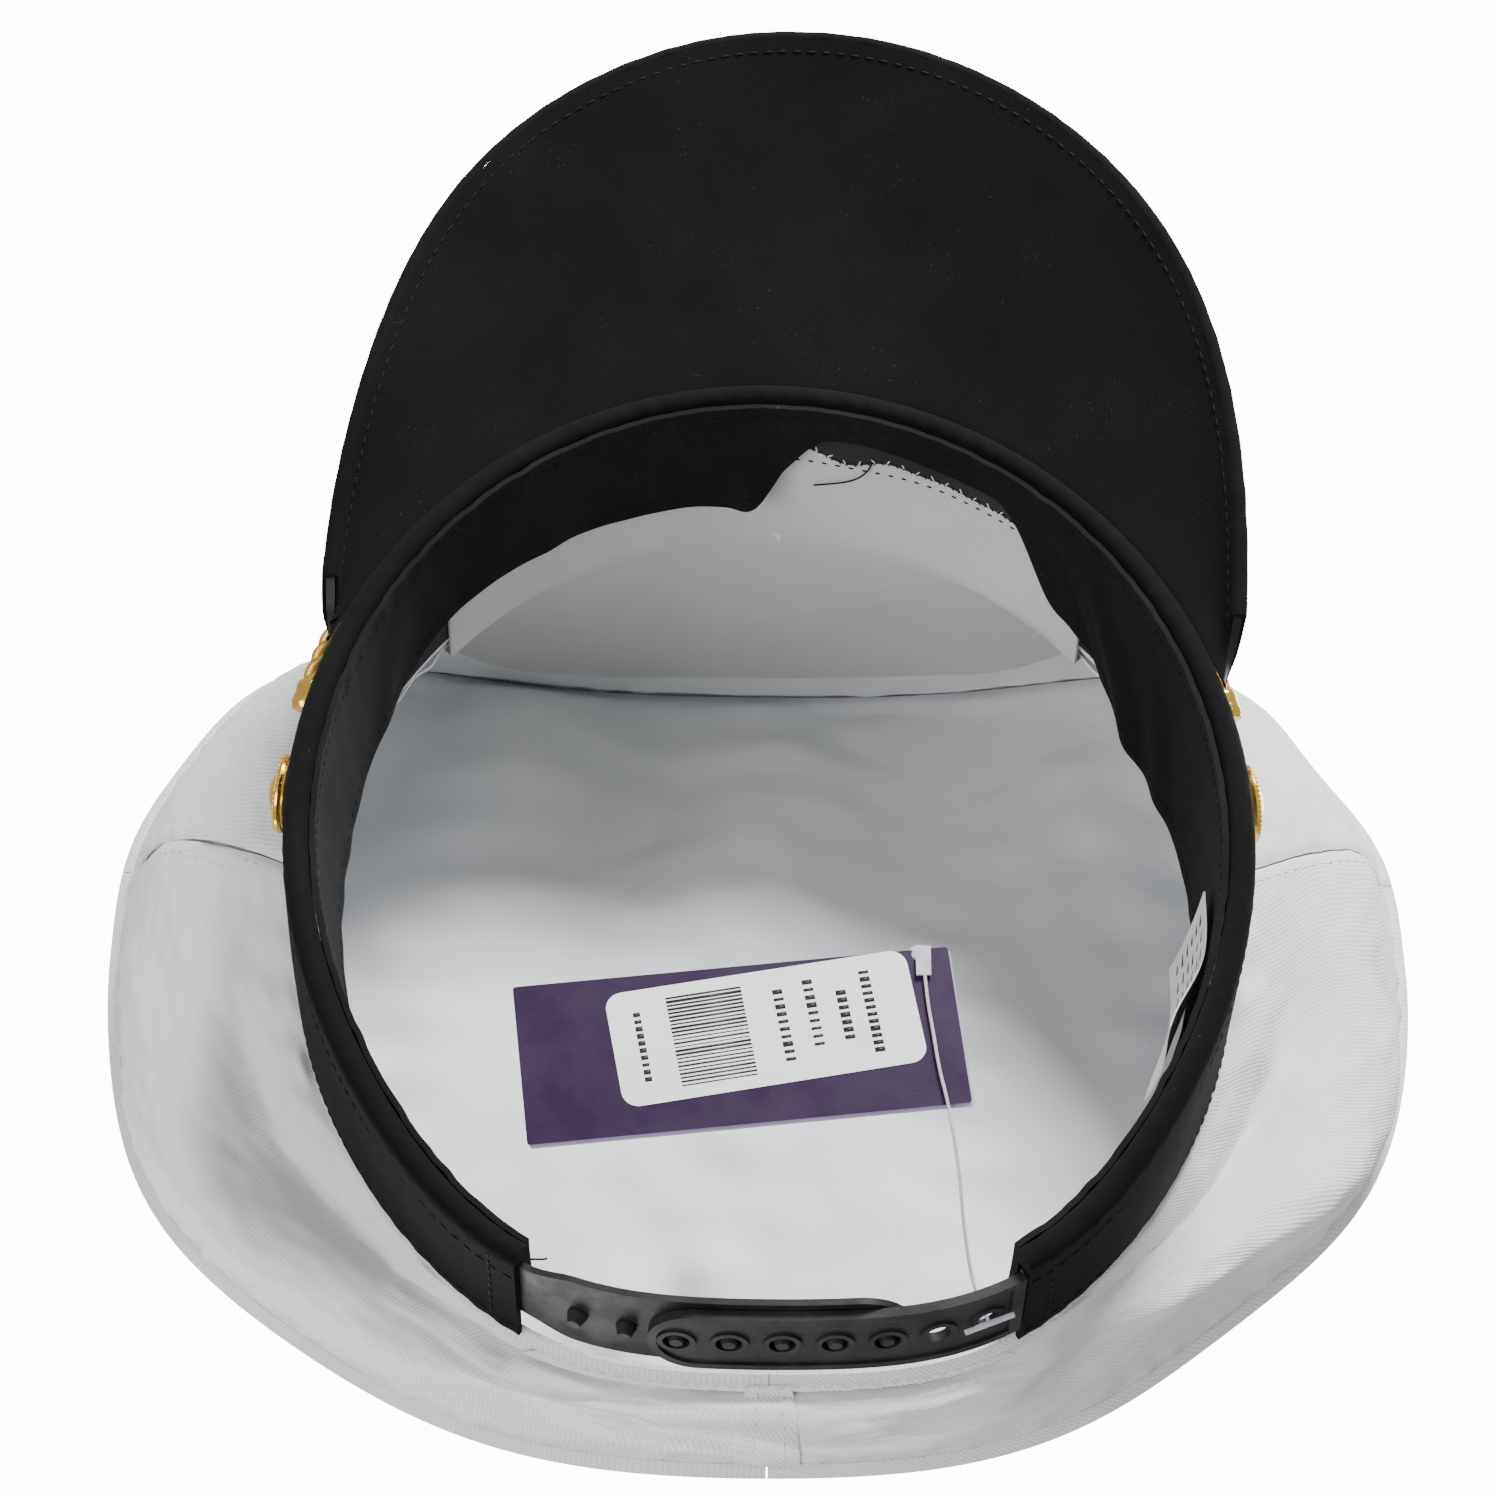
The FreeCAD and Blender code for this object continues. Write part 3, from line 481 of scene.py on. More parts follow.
def cloth_shell(name: str, outer: Array, thickness: float, wrap: bool = False,
                uv: Optional[Array] = None, inner: Optional[Array] = None,
                sharp: float = 50.0) -> bpy.types.Object:
    """A closed thin piece of cloth from the grid of its outer face.

    Args:
        name: The piece's name.
        outer: Grid of points; first direction times second points outward.
        thickness: Depth behind the outer face.
        wrap: Whether the first direction closes on itself.
        uv: Flat place of each grid point; worked out from lengths if it isn't given.
        inner: Grid of the inner face, where it isn't a plain offset.
        sharp: As for mesh_object.

    Returns:
        The object.
    """
    if inner is None:
        inner = outer - grid_normals(outer, wrap) * thickness
    flat = cloth_lengths(outer, wrap) if uv is None else uv
    if wrap and len(flat) == len(outer):
        flat = np.concatenate([flat, flat[:1]])
    nu, nv = outer.shape[:2]
    spans = nu if wrap else nu - 1
    i, j = np.meshgrid(np.arange(spans), np.arange(nv - 1), indexing="ij")
    i, j = i.ravel(), j.ravel()
    turn = [(i, j), (i + 1, j), (i + 1, j + 1), (i, j + 1)]
    front = np.stack([(a % nu) * nv + b for a, b in turn], 1)
    front_uv = np.stack([flat[a, b] for a, b in turn], 1)
    faces = [front, front[:, ::-1] + nu * nv]
    maps = [front_uv, front_uv[:, ::-1]]
    rims = [[(k, 0) for k in range(spans + 1)], [(k, nv - 1) for k in range(spans, -1, -1)]]
    if not wrap:
        rims += [[(nu - 1, k) for k in range(nv)], [(0, k) for k in range(nv - 1, -1, -1)]]
    for rim in rims:
        a = np.array(rim)
        at, place = (a[:, 0] % nu) * nv + a[:, 1], flat[a[:, 0], a[:, 1]]
        faces.append(np.stack([at[:-1], at[:-1] + nu * nv, at[1:] + nu * nv, at[1:]], 1))
        maps.append(np.stack([place[:-1], place[:-1], place[1:], place[1:]], 1))
    points = np.concatenate([outer.reshape(-1, 3), inner.reshape(-1, 3)])
    return mesh_object(name, points, np.concatenate(faces).tolist(), np.concatenate(maps), sharp)


def close_seams(piece: bpy.types.Object, gap: float = 2e-6) -> bpy.types.Object:
    """Joins the points of a piece that lie on each other, such as a disc's middle.

    Args:
        piece: The piece.
        gap: Points nearer than this are joined, in metres.

    Returns:
        The same piece.
    """
    work = bmesh.new()
    work.from_mesh(piece.data)
    bmesh.ops.remove_doubles(work, verts=work.verts, dist=gap)
    bmesh.ops.recalc_face_normals(work, faces=work.faces)
    work.to_mesh(piece.data)
    work.free()
    return piece


def dress(piece: bpy.types.Object, material: bpy.types.Material, body: str, slot: str,
          *nodes: str) -> bpy.types.Object:
    """Gives a piece its finish and its body, and hides the frame's nodes that it stands for.

    Args:
        piece: The piece.
        material: Its finish.
        body: The body that it moves with.
        slot: Not used.
        *nodes: The nodes that it replaces.

    Returns:
        The same piece.
    """
    piece.data.materials.clear()
    piece.data.materials.append(material)
    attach(piece, body)
    if nodes:
        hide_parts(*nodes)
    log.info("%s rides on %s", piece.name, body)
    return piece


# ---- node trees ----

Value = Union[bpy.types.NodeSocket, float, int, bool, str, Sequence[float], None]


class Wiring:
    """Adds nodes to a tree and wires them by their inputs' names."""

    def __init__(self, tree: bpy.types.NodeTree) -> None:
        """Starts on a tree."""
        self.tree = tree

    def add(self, kind: str, settings: Optional[dict[str, Any]] = None,
            inputs: Optional[dict[Union[int, str], Value]] = None) -> bpy.types.Node:
        """A new node.

        Args:
            kind: Its type.
            settings: Its properties.
            inputs: A value, or the socket that feeds it, for each input by name or number.

        Returns:
            The node.
        """
        node = self.tree.nodes.new(kind)
        for key, value in (settings or {}).items():
            setattr(node, key, value)
        for key, value in (inputs or {}).items():
            if isinstance(value, bpy.types.NodeSocket):
                self.tree.links.new(value, node.inputs[key])
            else:
                node.inputs[key].default_value = value
        return node

    def maths(self, operation: str, *values: Value) -> bpy.types.NodeSocket:
        """The result of a Math node."""
        node = self.add("ShaderNodeMath", {"operation": operation}, dict(enumerate(values)))
        return node.outputs[0]

    def blend(self, share: Value, low: Value, high: Value) -> bpy.types.NodeSocket:
        """A colour between two."""
        node = self.add("ShaderNodeMix", {"data_type": "RGBA"}, {0: share, 6: low, 7: high})
        return node.outputs[2]

    def noise(self, where: Value, scale: Value, detail: float = 3.0) -> bpy.types.NodeSocket:
        """A noise value about 0.5."""
        inputs = {"Vector": where, "Scale": scale, "Detail": detail, "Roughness": 0.55}
        return self.add("ShaderNodeTexNoise", None, inputs).outputs[0]

    def spread(self, value: Value, low: float, high: float, to_low: float = 0.0,
               to_high: float = 1.0) -> bpy.types.NodeSocket:
        """The value mapped from one range to another and held inside it.

        Args:
            value: What is mapped.
            low: Start of its range.
            high: End of its range.
            to_low: Start of the new range.
            to_high: End of the new range.

        Returns:
            The result's socket.
        """
        inputs = {"Value": value, "From Min": low, "From Max": high, "To Min": to_low,
                  "To Max": to_high}
        return self.add("ShaderNodeMapRange", None, inputs).outputs[0]


def shader_group(name: str, inputs: dict[str, tuple[str, Any]],
                 outputs: dict[str, str]) -> tuple[bpy.types.NodeTree, Wiring, bpy.types.Node]:
    """An empty shader group with named sockets.

    Args:
        name: The group's name.
        inputs: Socket kind and default of each input.
        outputs: Socket kind of each output.

    Returns:
        The tree, its wiring and its input node.
    """
    tree = bpy.data.node_groups.new(name, "ShaderNodeTree")
    for label, (kind, default) in inputs.items():
        socket = tree.interface.new_socket(name=label, in_out="INPUT",
                                           socket_type="NodeSocket" + kind)
        if default is not None:
            socket.default_value = default
    for label, kind in outputs.items():
        tree.interface.new_socket(name=label, in_out="OUTPUT", socket_type="NodeSocket" + kind)
    return tree, Wiring(tree), tree.nodes.new("NodeGroupInput")


class Weave(Enum):
    """How a cloth is woven."""

    TWILL = "twill"
    PLAIN = "plain"
    FELT = "felt"


def weave_group(weave: Weave) -> bpy.types.NodeTree:
    """Group: threads of one weave. Vector is in millimetres; Height and Shade run from 0 to 1.

    Args:
        weave: Which weave.

    Returns:
        The group.
    """
    tree, wires, given = shader_group(
        "weave_" + weave.value,
        {"Vector": ("Vector", None), "Pitch": ("Float", 0.7), "Slub": ("Float", 0.3)},
        {"Height": "Float", "Shade": "Float"})
    vector, pitch, slub = (given.outputs[k] for k in ("Vector", "Pitch", "Slub"))
    wander = wires.add("ShaderNodeTexNoise", None, {"Vector": vector, "Scale": 0.22, "Detail": 2.0})
    shift = wires.add("ShaderNodeVectorMath", {"operation": "MULTIPLY_ADD"},
                      {0: wander.outputs[1], 1: (0.9, 0.9, 0.0), 2: vector})
    parts = wires.add("ShaderNodeSeparateXYZ", None, {0: shift.outputs[0]})
    x, y = parts.outputs[0], parts.outputs[1]
    turns = wires.maths("DIVIDE", 2 * math.pi, pitch)
    fibre = wires.noise(vector, 2.6, 4.0)
    if weave is Weave.TWILL:
        slant = wires.maths("ADD", wires.maths("MULTIPLY", x, 0.82),
                            wires.maths("MULTIPLY", y, 0.57))
        rung = wires.maths("SUBTRACT", wires.maths("MULTIPLY", y, 0.9),
                           wires.maths("MULTIPLY", x, 0.3))
        rib = wires.maths("SINE", wires.maths("MULTIPLY", slant, turns))
        crossing = wires.maths("MULTIPLY", wires.maths("MULTIPLY", rung, turns), 1.15)
        step = wires.maths("SINE", crossing)
        threads = wires.maths("MULTIPLY_ADD", step, 0.22, wires.maths("MULTIPLY", rib, 0.78))
    elif weave is Weave.PLAIN:
        warp = wires.maths("SINE", wires.maths("MULTIPLY", x, turns))
        weft = wires.maths("SINE", wires.maths("MULTIPLY", y, turns))
        threads = wires.maths("MULTIPLY", warp, weft)
    else:
        threads = wires.spread(wires.noise(vector, wires.maths("DIVIDE", 1.0, pitch), 6.0),
                               0.3, 0.7, -1.0, 1.0)
    height = wires.maths("MULTIPLY_ADD", threads, 0.42, 0.5)
    uneven = wires.maths("MULTIPLY", wires.maths("SUBTRACT", fibre, 0.5), slub)
    wires.add("NodeGroupOutput", None, {"Height": wires.maths("ADD", height, uneven),
                                        "Shade": wires.maths("MULTIPLY_ADD", uneven, 1.0, height)})
    return tree


def mottle_group() -> bpy.types.NodeTree:
    """Group: uneven tone. Colour runs between Low and High in soft patches of about Size metres.

    Returns:
        The group.
    """
    tree, wires, given = shader_group(
        "mottle",
        {"Vector": ("Vector", None), "Size": ("Float", 0.02), "Low": ("Color", (0, 0, 0, 1)),
         "High": ("Color", (1, 1, 1, 1))}, {"Color": "Color", "Mask": "Float"})
    vector, size, low, high = (given.outputs[k] for k in ("Vector", "Size", "Low", "High"))
    patches = wires.noise(vector, wires.maths("DIVIDE", 1.0, size), 4.0)
    share = wires.spread(patches, 0.32, 0.68)
    wires.add("NodeGroupOutput", None, {"Color": wires.blend(share, low, high), "Mask": share})
    return tree


def lint_group() -> bpy.types.NodeTree:
    """Group: a few pale fibres and specks. Vector is in metres; Mask is 1 on them.

    Returns:
        The group.
    """
    tree, wires, given = shader_group(
        "lint", {"Vector": ("Vector", None), "Amount": ("Float", 0.3)}, {"Mask": "Float"})
    vector, amount = given.outputs["Vector"], given.outputs["Amount"]
    stretched = wires.add("ShaderNodeMapping", None, {"Vector": vector, "Rotation": (0.4, 0.2, 0.7),
                                                      "Scale": (260.0, 2300.0, 2300.0)})
    fibres = wires.spread(wires.noise(stretched.outputs[0], 1.0, 1.0), 0.77, 0.80)
    specks = wires.spread(wires.noise(vector, 1900.0, 0.0), 0.80, 0.83)
    where = wires.spread(wires.noise(vector, 70.0, 2.0), 0.45, 0.65)
    both = wires.maths("MAXIMUM", fibres, specks)
    wires.add("NodeGroupOutput", None,
              {"Mask": wires.maths("MULTIPLY", wires.maths("MULTIPLY", both, where), amount)})
    return tree


def handling_group() -> bpy.types.NodeTree:
    """Group: marks of handling on hard pieces. Haze is broad, Scratch is fine, both 0 to 1.

    Returns:
        The group.
    """
    tree, wires, given = shader_group(
        "handling", {"Vector": ("Vector", None), "Size": ("Float", 0.004)},
        {"Haze": "Float", "Scratch": "Float"})
    vector, size = given.outputs["Vector"], given.outputs["Size"]
    often = wires.maths("DIVIDE", 1.0, size)
    haze = wires.spread(wires.noise(vector, often, 4.0), 0.35, 0.7)
    line = wires.add("ShaderNodeMapping", None, {"Vector": vector, "Rotation": (0.6, 0.9, 0.3),
                                                 "Scale": (400.0, 6000.0, 6000.0)})
    scratch = wires.spread(wires.noise(line.outputs[0], 1.0, 2.0), 0.62, 0.72)
    wires.add("NodeGroupOutput", None, {"Haze": haze, "Scratch": scratch})
    return tree


GROUPS: dict[str, bpy.types.NodeTree] = {
    **{weave.value: weave_group(weave) for weave in Weave},
    "mottle": mottle_group(), "lint": lint_group(), "handling": handling_group(),
}


# ---- finishes ----

def rgba(colour: Colour) -> tuple[float, float, float, float]:
    """The colour with full opacity."""
    return (*colour, 1.0)


class Surface:
    """A material in the making: its wiring, coordinates and Principled shader."""

    def __init__(self, name: str) -> None:
        """Starts an empty material.

        Args:
            name: The material's name.
        """
        self.material = bpy.data.materials.new(name)
        self.material.use_nodes = True
        self.wires = Wiring(self.material.node_tree)
        self.shader = self.material.node_tree.nodes["Principled BSDF"]
        self.here = self.wires.add("ShaderNodeTexCoord").outputs["Object"]

    def cloth_place(self) -> bpy.types.NodeSocket:
        """Place on the flat cloth, in millimetres."""
        return self.wires.add("ShaderNodeUVMap", {"uv_map": CLOTH_MAP}).outputs[0]

    def group(self, name: str, inputs: dict[Union[int, str], Value]) -> bpy.types.Node:
        """One of the shared groups, wired in."""
        return self.wires.add("ShaderNodeGroup", {"node_tree": GROUPS[name]}, inputs)

    def set(self, **values: Value) -> None:
        """Sets the shader's inputs; an underscore stands for a space.

        Args:
            **values: A value, or the socket that feeds it, for each input.
        """
        for key, value in values.items():
            socket = self.shader.inputs[key.replace("_", " ")]
            if isinstance(value, bpy.types.NodeSocket):
                self.wires.tree.links.new(value, socket)
            else:
                socket.default_value = value

    def relief(self, height: Value, depth: float, under: Optional[Value] = None,
               strength: float = 1.0) -> bpy.types.NodeSocket:
        """A normal from a height of 0 to 1 that stands for depth metres.

        Args:
            height: The height.
            depth: What a height of 1 stands for, in metres.
            under: A normal that it is laid over.
            strength: Share of the full effect.

        Returns:
            The normal's socket.
        """
        inputs = {"Height": height, "Distance": depth, "Strength": strength}
        if under is not None:
            inputs["Normal"] = under
        return self.wires.add("ShaderNodeBump", None, inputs).outputs[0]


@dataclass(frozen=True)
class ClothFinish:
    """Woven or felted cloth."""

    name: str
    colour: Colour
    shade: Colour               # the colour of darker patches; at 0.45 of it, the painted shade between the threads
    weave: Weave
    pitch: float                # millimetres
    depth: float                # millimetres
    gap_shade: float = 0.5       # how dark the painted shade between the threads gets
    slub: float = 0.35
    sheen: float = 0.15
    roughness: float = 0.86
    lint: float = 0.0
    gloss: float = 0.25

    def build(self) -> bpy.types.Material:
        """Wires the material up.

        Returns:
            The finished material.
        """
        surface = Surface(self.name)
        wires = surface.wires
        threads = surface.group(self.weave.value, {"Vector": surface.cloth_place(),
                                                   "Pitch": self.pitch, "Slub": self.slub})
        tone = surface.group("mottle", {"Vector": surface.here, "Size": 0.028,
                                        "Low": rgba(self.shade), "High": rgba(self.colour)})
        # painted shade: where the weave's relief is low, between the threads, the colour is darkened towards 0.45
        # of the shade colour
        gap_shade_mask = wires.spread(threads.outputs["Shade"], 0.15, 0.65, self.gap_shade, 0.0)
        colour = wires.blend(gap_shade_mask, tone.outputs["Color"], rgba(tuple(c * 0.45 for c in self.shade)))
        if self.lint > 0:
            specks = surface.group("lint", {"Vector": surface.here, "Amount": self.lint})
            colour = wires.blend(specks.outputs["Mask"], colour, (0.35, 0.35, 0.36, 1.0))
        surface.set(Base_Color=colour, Sheen_Weight=self.sheen, Sheen_Roughness=0.5,
                    Roughness=wires.spread(tone.outputs["Mask"], 0, 1, self.roughness + 0.05,
                                           self.roughness - 0.05),
                    Specular_IOR_Level=self.gloss,
                    Normal=surface.relief(threads.outputs["Height"], self.depth * MM))
        return surface.material


@dataclass(frozen=True)
class PlasticFinish:
    """Moulded plastic with a fine spark-eroded grain."""

    name: str
    colour: Colour
    roughness: float = 0.42
    grain: float = 0.02         # millimetres

    def build(self) -> bpy.types.Material:
        """Wires the material up.

        Returns:
            The finished material.
        """
        surface = Surface(self.name)
        wires = surface.wires
        marks = surface.group("handling", {"Vector": surface.here, "Size": 0.006})
        paler = tuple(min(1.0, c * 1.7 + 0.01) for c in self.colour)
        tone = surface.group("mottle", {"Vector": surface.here, "Size": 0.01,
                                        "Low": rgba(self.colour), "High": rgba(paler)})
        colour = wires.blend(wires.maths("MULTIPLY", marks.outputs["Scratch"], 0.25),
                             tone.outputs["Color"],
                             rgba(tuple(min(1, c + 0.12) for c in self.colour)))
        grain = wires.noise(surface.here, 2600.0, 2.0)
        surface.set(Base_Color=colour, Specular_IOR_Level=0.18,
                    Roughness=wires.spread(marks.outputs["Haze"], 0, 1, self.roughness - 0.06,
                                           self.roughness + 0.12),
                    Normal=surface.relief(grain, self.grain * MM))
        return surface.material


@dataclass(frozen=True)
class MetalFinish:
    """Polished or spun metal."""

    name: str
    colour: Colour
    shade: Colour
    roughness: float = 0.16
    relief: float = 0.01        # millimetres

    def build(self) -> bpy.types.Material:
        """Wires the material up.

        Returns:
            The finished material.
        """
        surface = Surface(self.name)
        wires = surface.wires
        marks = surface.group("handling", {"Vector": surface.here, "Size": 0.003})
        tone = surface.group("mottle", {"Vector": surface.here, "Size": 0.004,
                                        "Low": rgba(self.shade), "High": rgba(self.colour)})
        rough = wires.maths("MULTIPLY_ADD", marks.outputs["Scratch"], 0.15,
                            wires.spread(marks.outputs["Haze"], 0, 1, self.roughness,
                                         self.roughness + 0.12))
        surface.set(Base_Color=tone.outputs["Color"], Metallic=1.0, Roughness=rough,
                    Normal=surface.relief(marks.outputs["Scratch"], self.relief * MM))
        return surface.material


@dataclass(frozen=True)
class YarnFinish:
    """Thread or cord of twisted fibres; metallic yarn where metal is above 0."""

    name: str
    colour: Colour
    shade: Colour
    metal: float = 0.0
    roughness: float = 0.6
    fibre: float = 0.12         # millimetres

    def build(self) -> bpy.types.Material:
        """Wires the material up.

        Returns:
            The finished material.
        """
        surface = Surface(self.name)
        wires = surface.wires
        stretched = wires.add("ShaderNodeMapping", None,
                              {"Vector": surface.here, "Rotation": (0.5, 0.3, 0.8),
                               "Scale": (0.35 / self.fibre / MM, 1 / self.fibre / MM,
                                         1 / self.fibre / MM)})
        fibres = wires.noise(stretched.outputs[0], 1.0, 3.0)
        share = wires.spread(fibres, 0.35, 0.65)
        surface.set(Base_Color=wires.blend(share, rgba(self.shade), rgba(self.colour)),
                    Metallic=self.metal, Specular_IOR_Level=0.5 if self.metal else 0.12,
                    Roughness=wires.spread(share, 0, 1, self.roughness + 0.12,
                                           self.roughness - 0.08),
                    Normal=surface.relief(fibres, 0.06 * MM))
        return surface.material


@dataclass(frozen=True)
class SheetFinish:
    """Card, paper or pressed sheet; the cut edge, where it faces sideways, may differ."""

    name: str
    colour: Colour
    shade: Colour
    edge: Optional[Colour] = None
    roughness: float = 0.5
    tooth: float = 0.015        # millimetres

    def build(self) -> bpy.types.Material:
        """Wires the material up.

        Returns:
            The finished material.
        """
        surface = Surface(self.name)
        wires = surface.wires
        tone = surface.group("mottle", {"Vector": surface.here, "Size": 0.012,
                                        "Low": rgba(self.shade), "High": rgba(self.colour)})
        marks = surface.group("handling", {"Vector": surface.here, "Size": 0.01})
        colour = tone.outputs["Color"]
        if self.edge is not None:
            normal = wires.add("ShaderNodeNewGeometry").outputs["True Normal"]
            level = wires.maths("ABSOLUTE",
                                wires.add("ShaderNodeSeparateXYZ", None, {0: normal}).outputs[2])
            colour = wires.blend(wires.spread(level, 0.5, 0.8), rgba(self.edge), colour)
        surface.set(Base_Color=colour, Specular_IOR_Level=0.25,
                    Roughness=wires.spread(marks.outputs["Haze"], 0, 1, self.roughness - 0.08,
                                           self.roughness + 0.08),
                    Normal=surface.relief(wires.noise(surface.here, 1800.0, 5.0), self.tooth * MM))
        return surface.material


@dataclass(frozen=True)
class NylonFinish:
    """Clear moulded nylon, cloudy inside."""

    name: str
    colour: Colour

    def build(self) -> bpy.types.Material:
        """Wires the material up.

        Returns:
            The finished material.
        """
        surface = Surface(self.name)
        wires = surface.wires
        cloud = surface.group("mottle", {"Vector": surface.here, "Size": 0.003,
                                         "High": rgba(self.colour),
                                         "Low": rgba(tuple(c * 0.8 for c in self.colour))})
        surface.set(Base_Color=cloud.outputs["Color"], Transmission_Weight=0.35, IOR=1.5,
                    Roughness=wires.spread(cloud.outputs["Mask"], 0, 1, 0.22, 0.34),
                    Normal=surface.relief(wires.noise(surface.here, 900.0, 2.0), 0.01 * MM))
        return surface.material


CROWN_CLOTH = ClothFinish("crown_twill", (0.80, 0.805, 0.82), (0.74, 0.745, 0.765), Weave.TWILL,
                          0.85, 0.10, gap_shade=0.22, sheen=0.2, slub=0.5)
LINING_CLOTH = ClothFinish("lining_weave", (0.76, 0.775, 0.79), (0.70, 0.715, 0.735), Weave.PLAIN,
                           0.45, 0.03, gap_shade=0.08, sheen=0.1, slub=0.5, roughness=0.7)
STIFF_SHEET = ClothFinish("pressed_sheet", (0.56, 0.56, 0.525), (0.51, 0.512, 0.48), Weave.FELT,
                          0.6, 0.03, gap_shade=0.10, sheen=0.0, slub=0.3, roughness=0.8)
BLACK_CLOTH = ClothFinish("black_plain_weave", (0.0040, 0.0040, 0.0043), (0.0031, 0.0031, 0.0034),
                          Weave.PLAIN, 0.62, 0.07, gap_shade=0.6, sheen=0.012, slub=1.2, lint=0.06,
                          gloss=0.10)
SWEAT_CLOTH = ClothFinish("black_sweatband", (0.0070, 0.0070, 0.0074), (0.0040, 0.0040, 0.0043),
                          Weave.TWILL, 0.6, 0.05, gap_shade=0.45, sheen=0.02, slub=0.9, lint=0.08,
                          gloss=0.12)
TAPE_CLOTH = ClothFinish("grey_tape", (0.022, 0.022, 0.023), (0.013, 0.013, 0.014), Weave.PLAIN,
                         0.8, 0.08, gap_shade=0.5, slub=0.8, lint=0.3, gloss=0.12)
LABEL_CLOTH = ClothFinish("woven_label", (0.78, 0.77, 0.75), (0.66, 0.65, 0.64), Weave.PLAIN,
                          0.35, 0.04, gap_shade=0.25, sheen=0.1)
FELT_CLOTH = ClothFinish("black_felt", (0.014, 0.014, 0.015), (0.008, 0.008, 0.009), Weave.FELT,
                         0.35, 0.25, gap_shade=0.6, sheen=0.25, lint=0.5)
BOARD_SHEET = SheetFinish("visor_board_sheet", (0.012, 0.012, 0.012), (0.008, 0.008, 0.008))
SNAP_PLASTIC = PlasticFinish("snap_plastic", (0.0065, 0.0065, 0.007), roughness=0.56)
GILT = MetalFinish("gilt", (0.93, 0.62, 0.13), (0.72, 0.42, 0.06))
SPRING_STEEL = MetalFinish("spring_steel", (0.55, 0.55, 0.56), (0.40, 0.40, 0.42), roughness=0.3)
GILT_YARN = YarnFinish("gilt_yarn", (0.86, 0.58, 0.14), (0.42, 0.24, 0.04), metal=0.85,
                       roughness=0.34)
BLACK_THREAD = YarnFinish("black_thread", (0.0085, 0.0085, 0.009), (0.0045, 0.0045, 0.005))
WHITE_THREAD = YarnFinish("white_thread", (0.84, 0.84, 0.85), (0.66, 0.67, 0.69))
TAG_CARD = SheetFinish("tag_card", (0.020, 0.0044, 0.034), (0.016, 0.0036, 0.028),
                       edge=(0.42, 0.34, 0.52), roughness=0.42)
TAG_INSIDE = SheetFinish("tag_inside", (0.42, 0.34, 0.52), (0.36, 0.29, 0.46),
                         edge=(0.5, 0.44, 0.58))
STICKER_PAPER = SheetFinish("sticker_paper", (0.80, 0.81, 0.83), (0.76, 0.77, 0.79), roughness=0.4)
PRINT_INK = SheetFinish("print_ink", (0.022, 0.022, 0.024), (0.014, 0.014, 0.016), roughness=0.5)
CLEAR_NYLON = NylonFinish("clear_nylon", (0.78, 0.74, 0.84))

Finish = Union[ClothFinish, PlasticFinish, MetalFinish, YarnFinish, SheetFinish, NylonFinish]
SHELF: dict[str, bpy.types.Material] = {}


def material_of(finish: Finish) -> bpy.types.Material:
    """The finish's material, built the first time it is asked for.

    Args:
        finish: The finish.

    Returns:
        Its material.
    """
    if finish.name not in SHELF:
        SHELF[finish.name] = finish.build()
    return SHELF[finish.name]


def finish_node(name: str, finish: Finish) -> None:
    """Gives one of the frame's own nodes its finish and leaves its shape alone.

    Args:
        name: The node's name.
        finish: Its finish.
    """
    node = frame["nodes"][name]
    node.data.materials.clear()
    node.data.materials.append(material_of(finish))
    log.info("%s keeps its frame shape", name)


# ---- patterns that repeat along a path ----

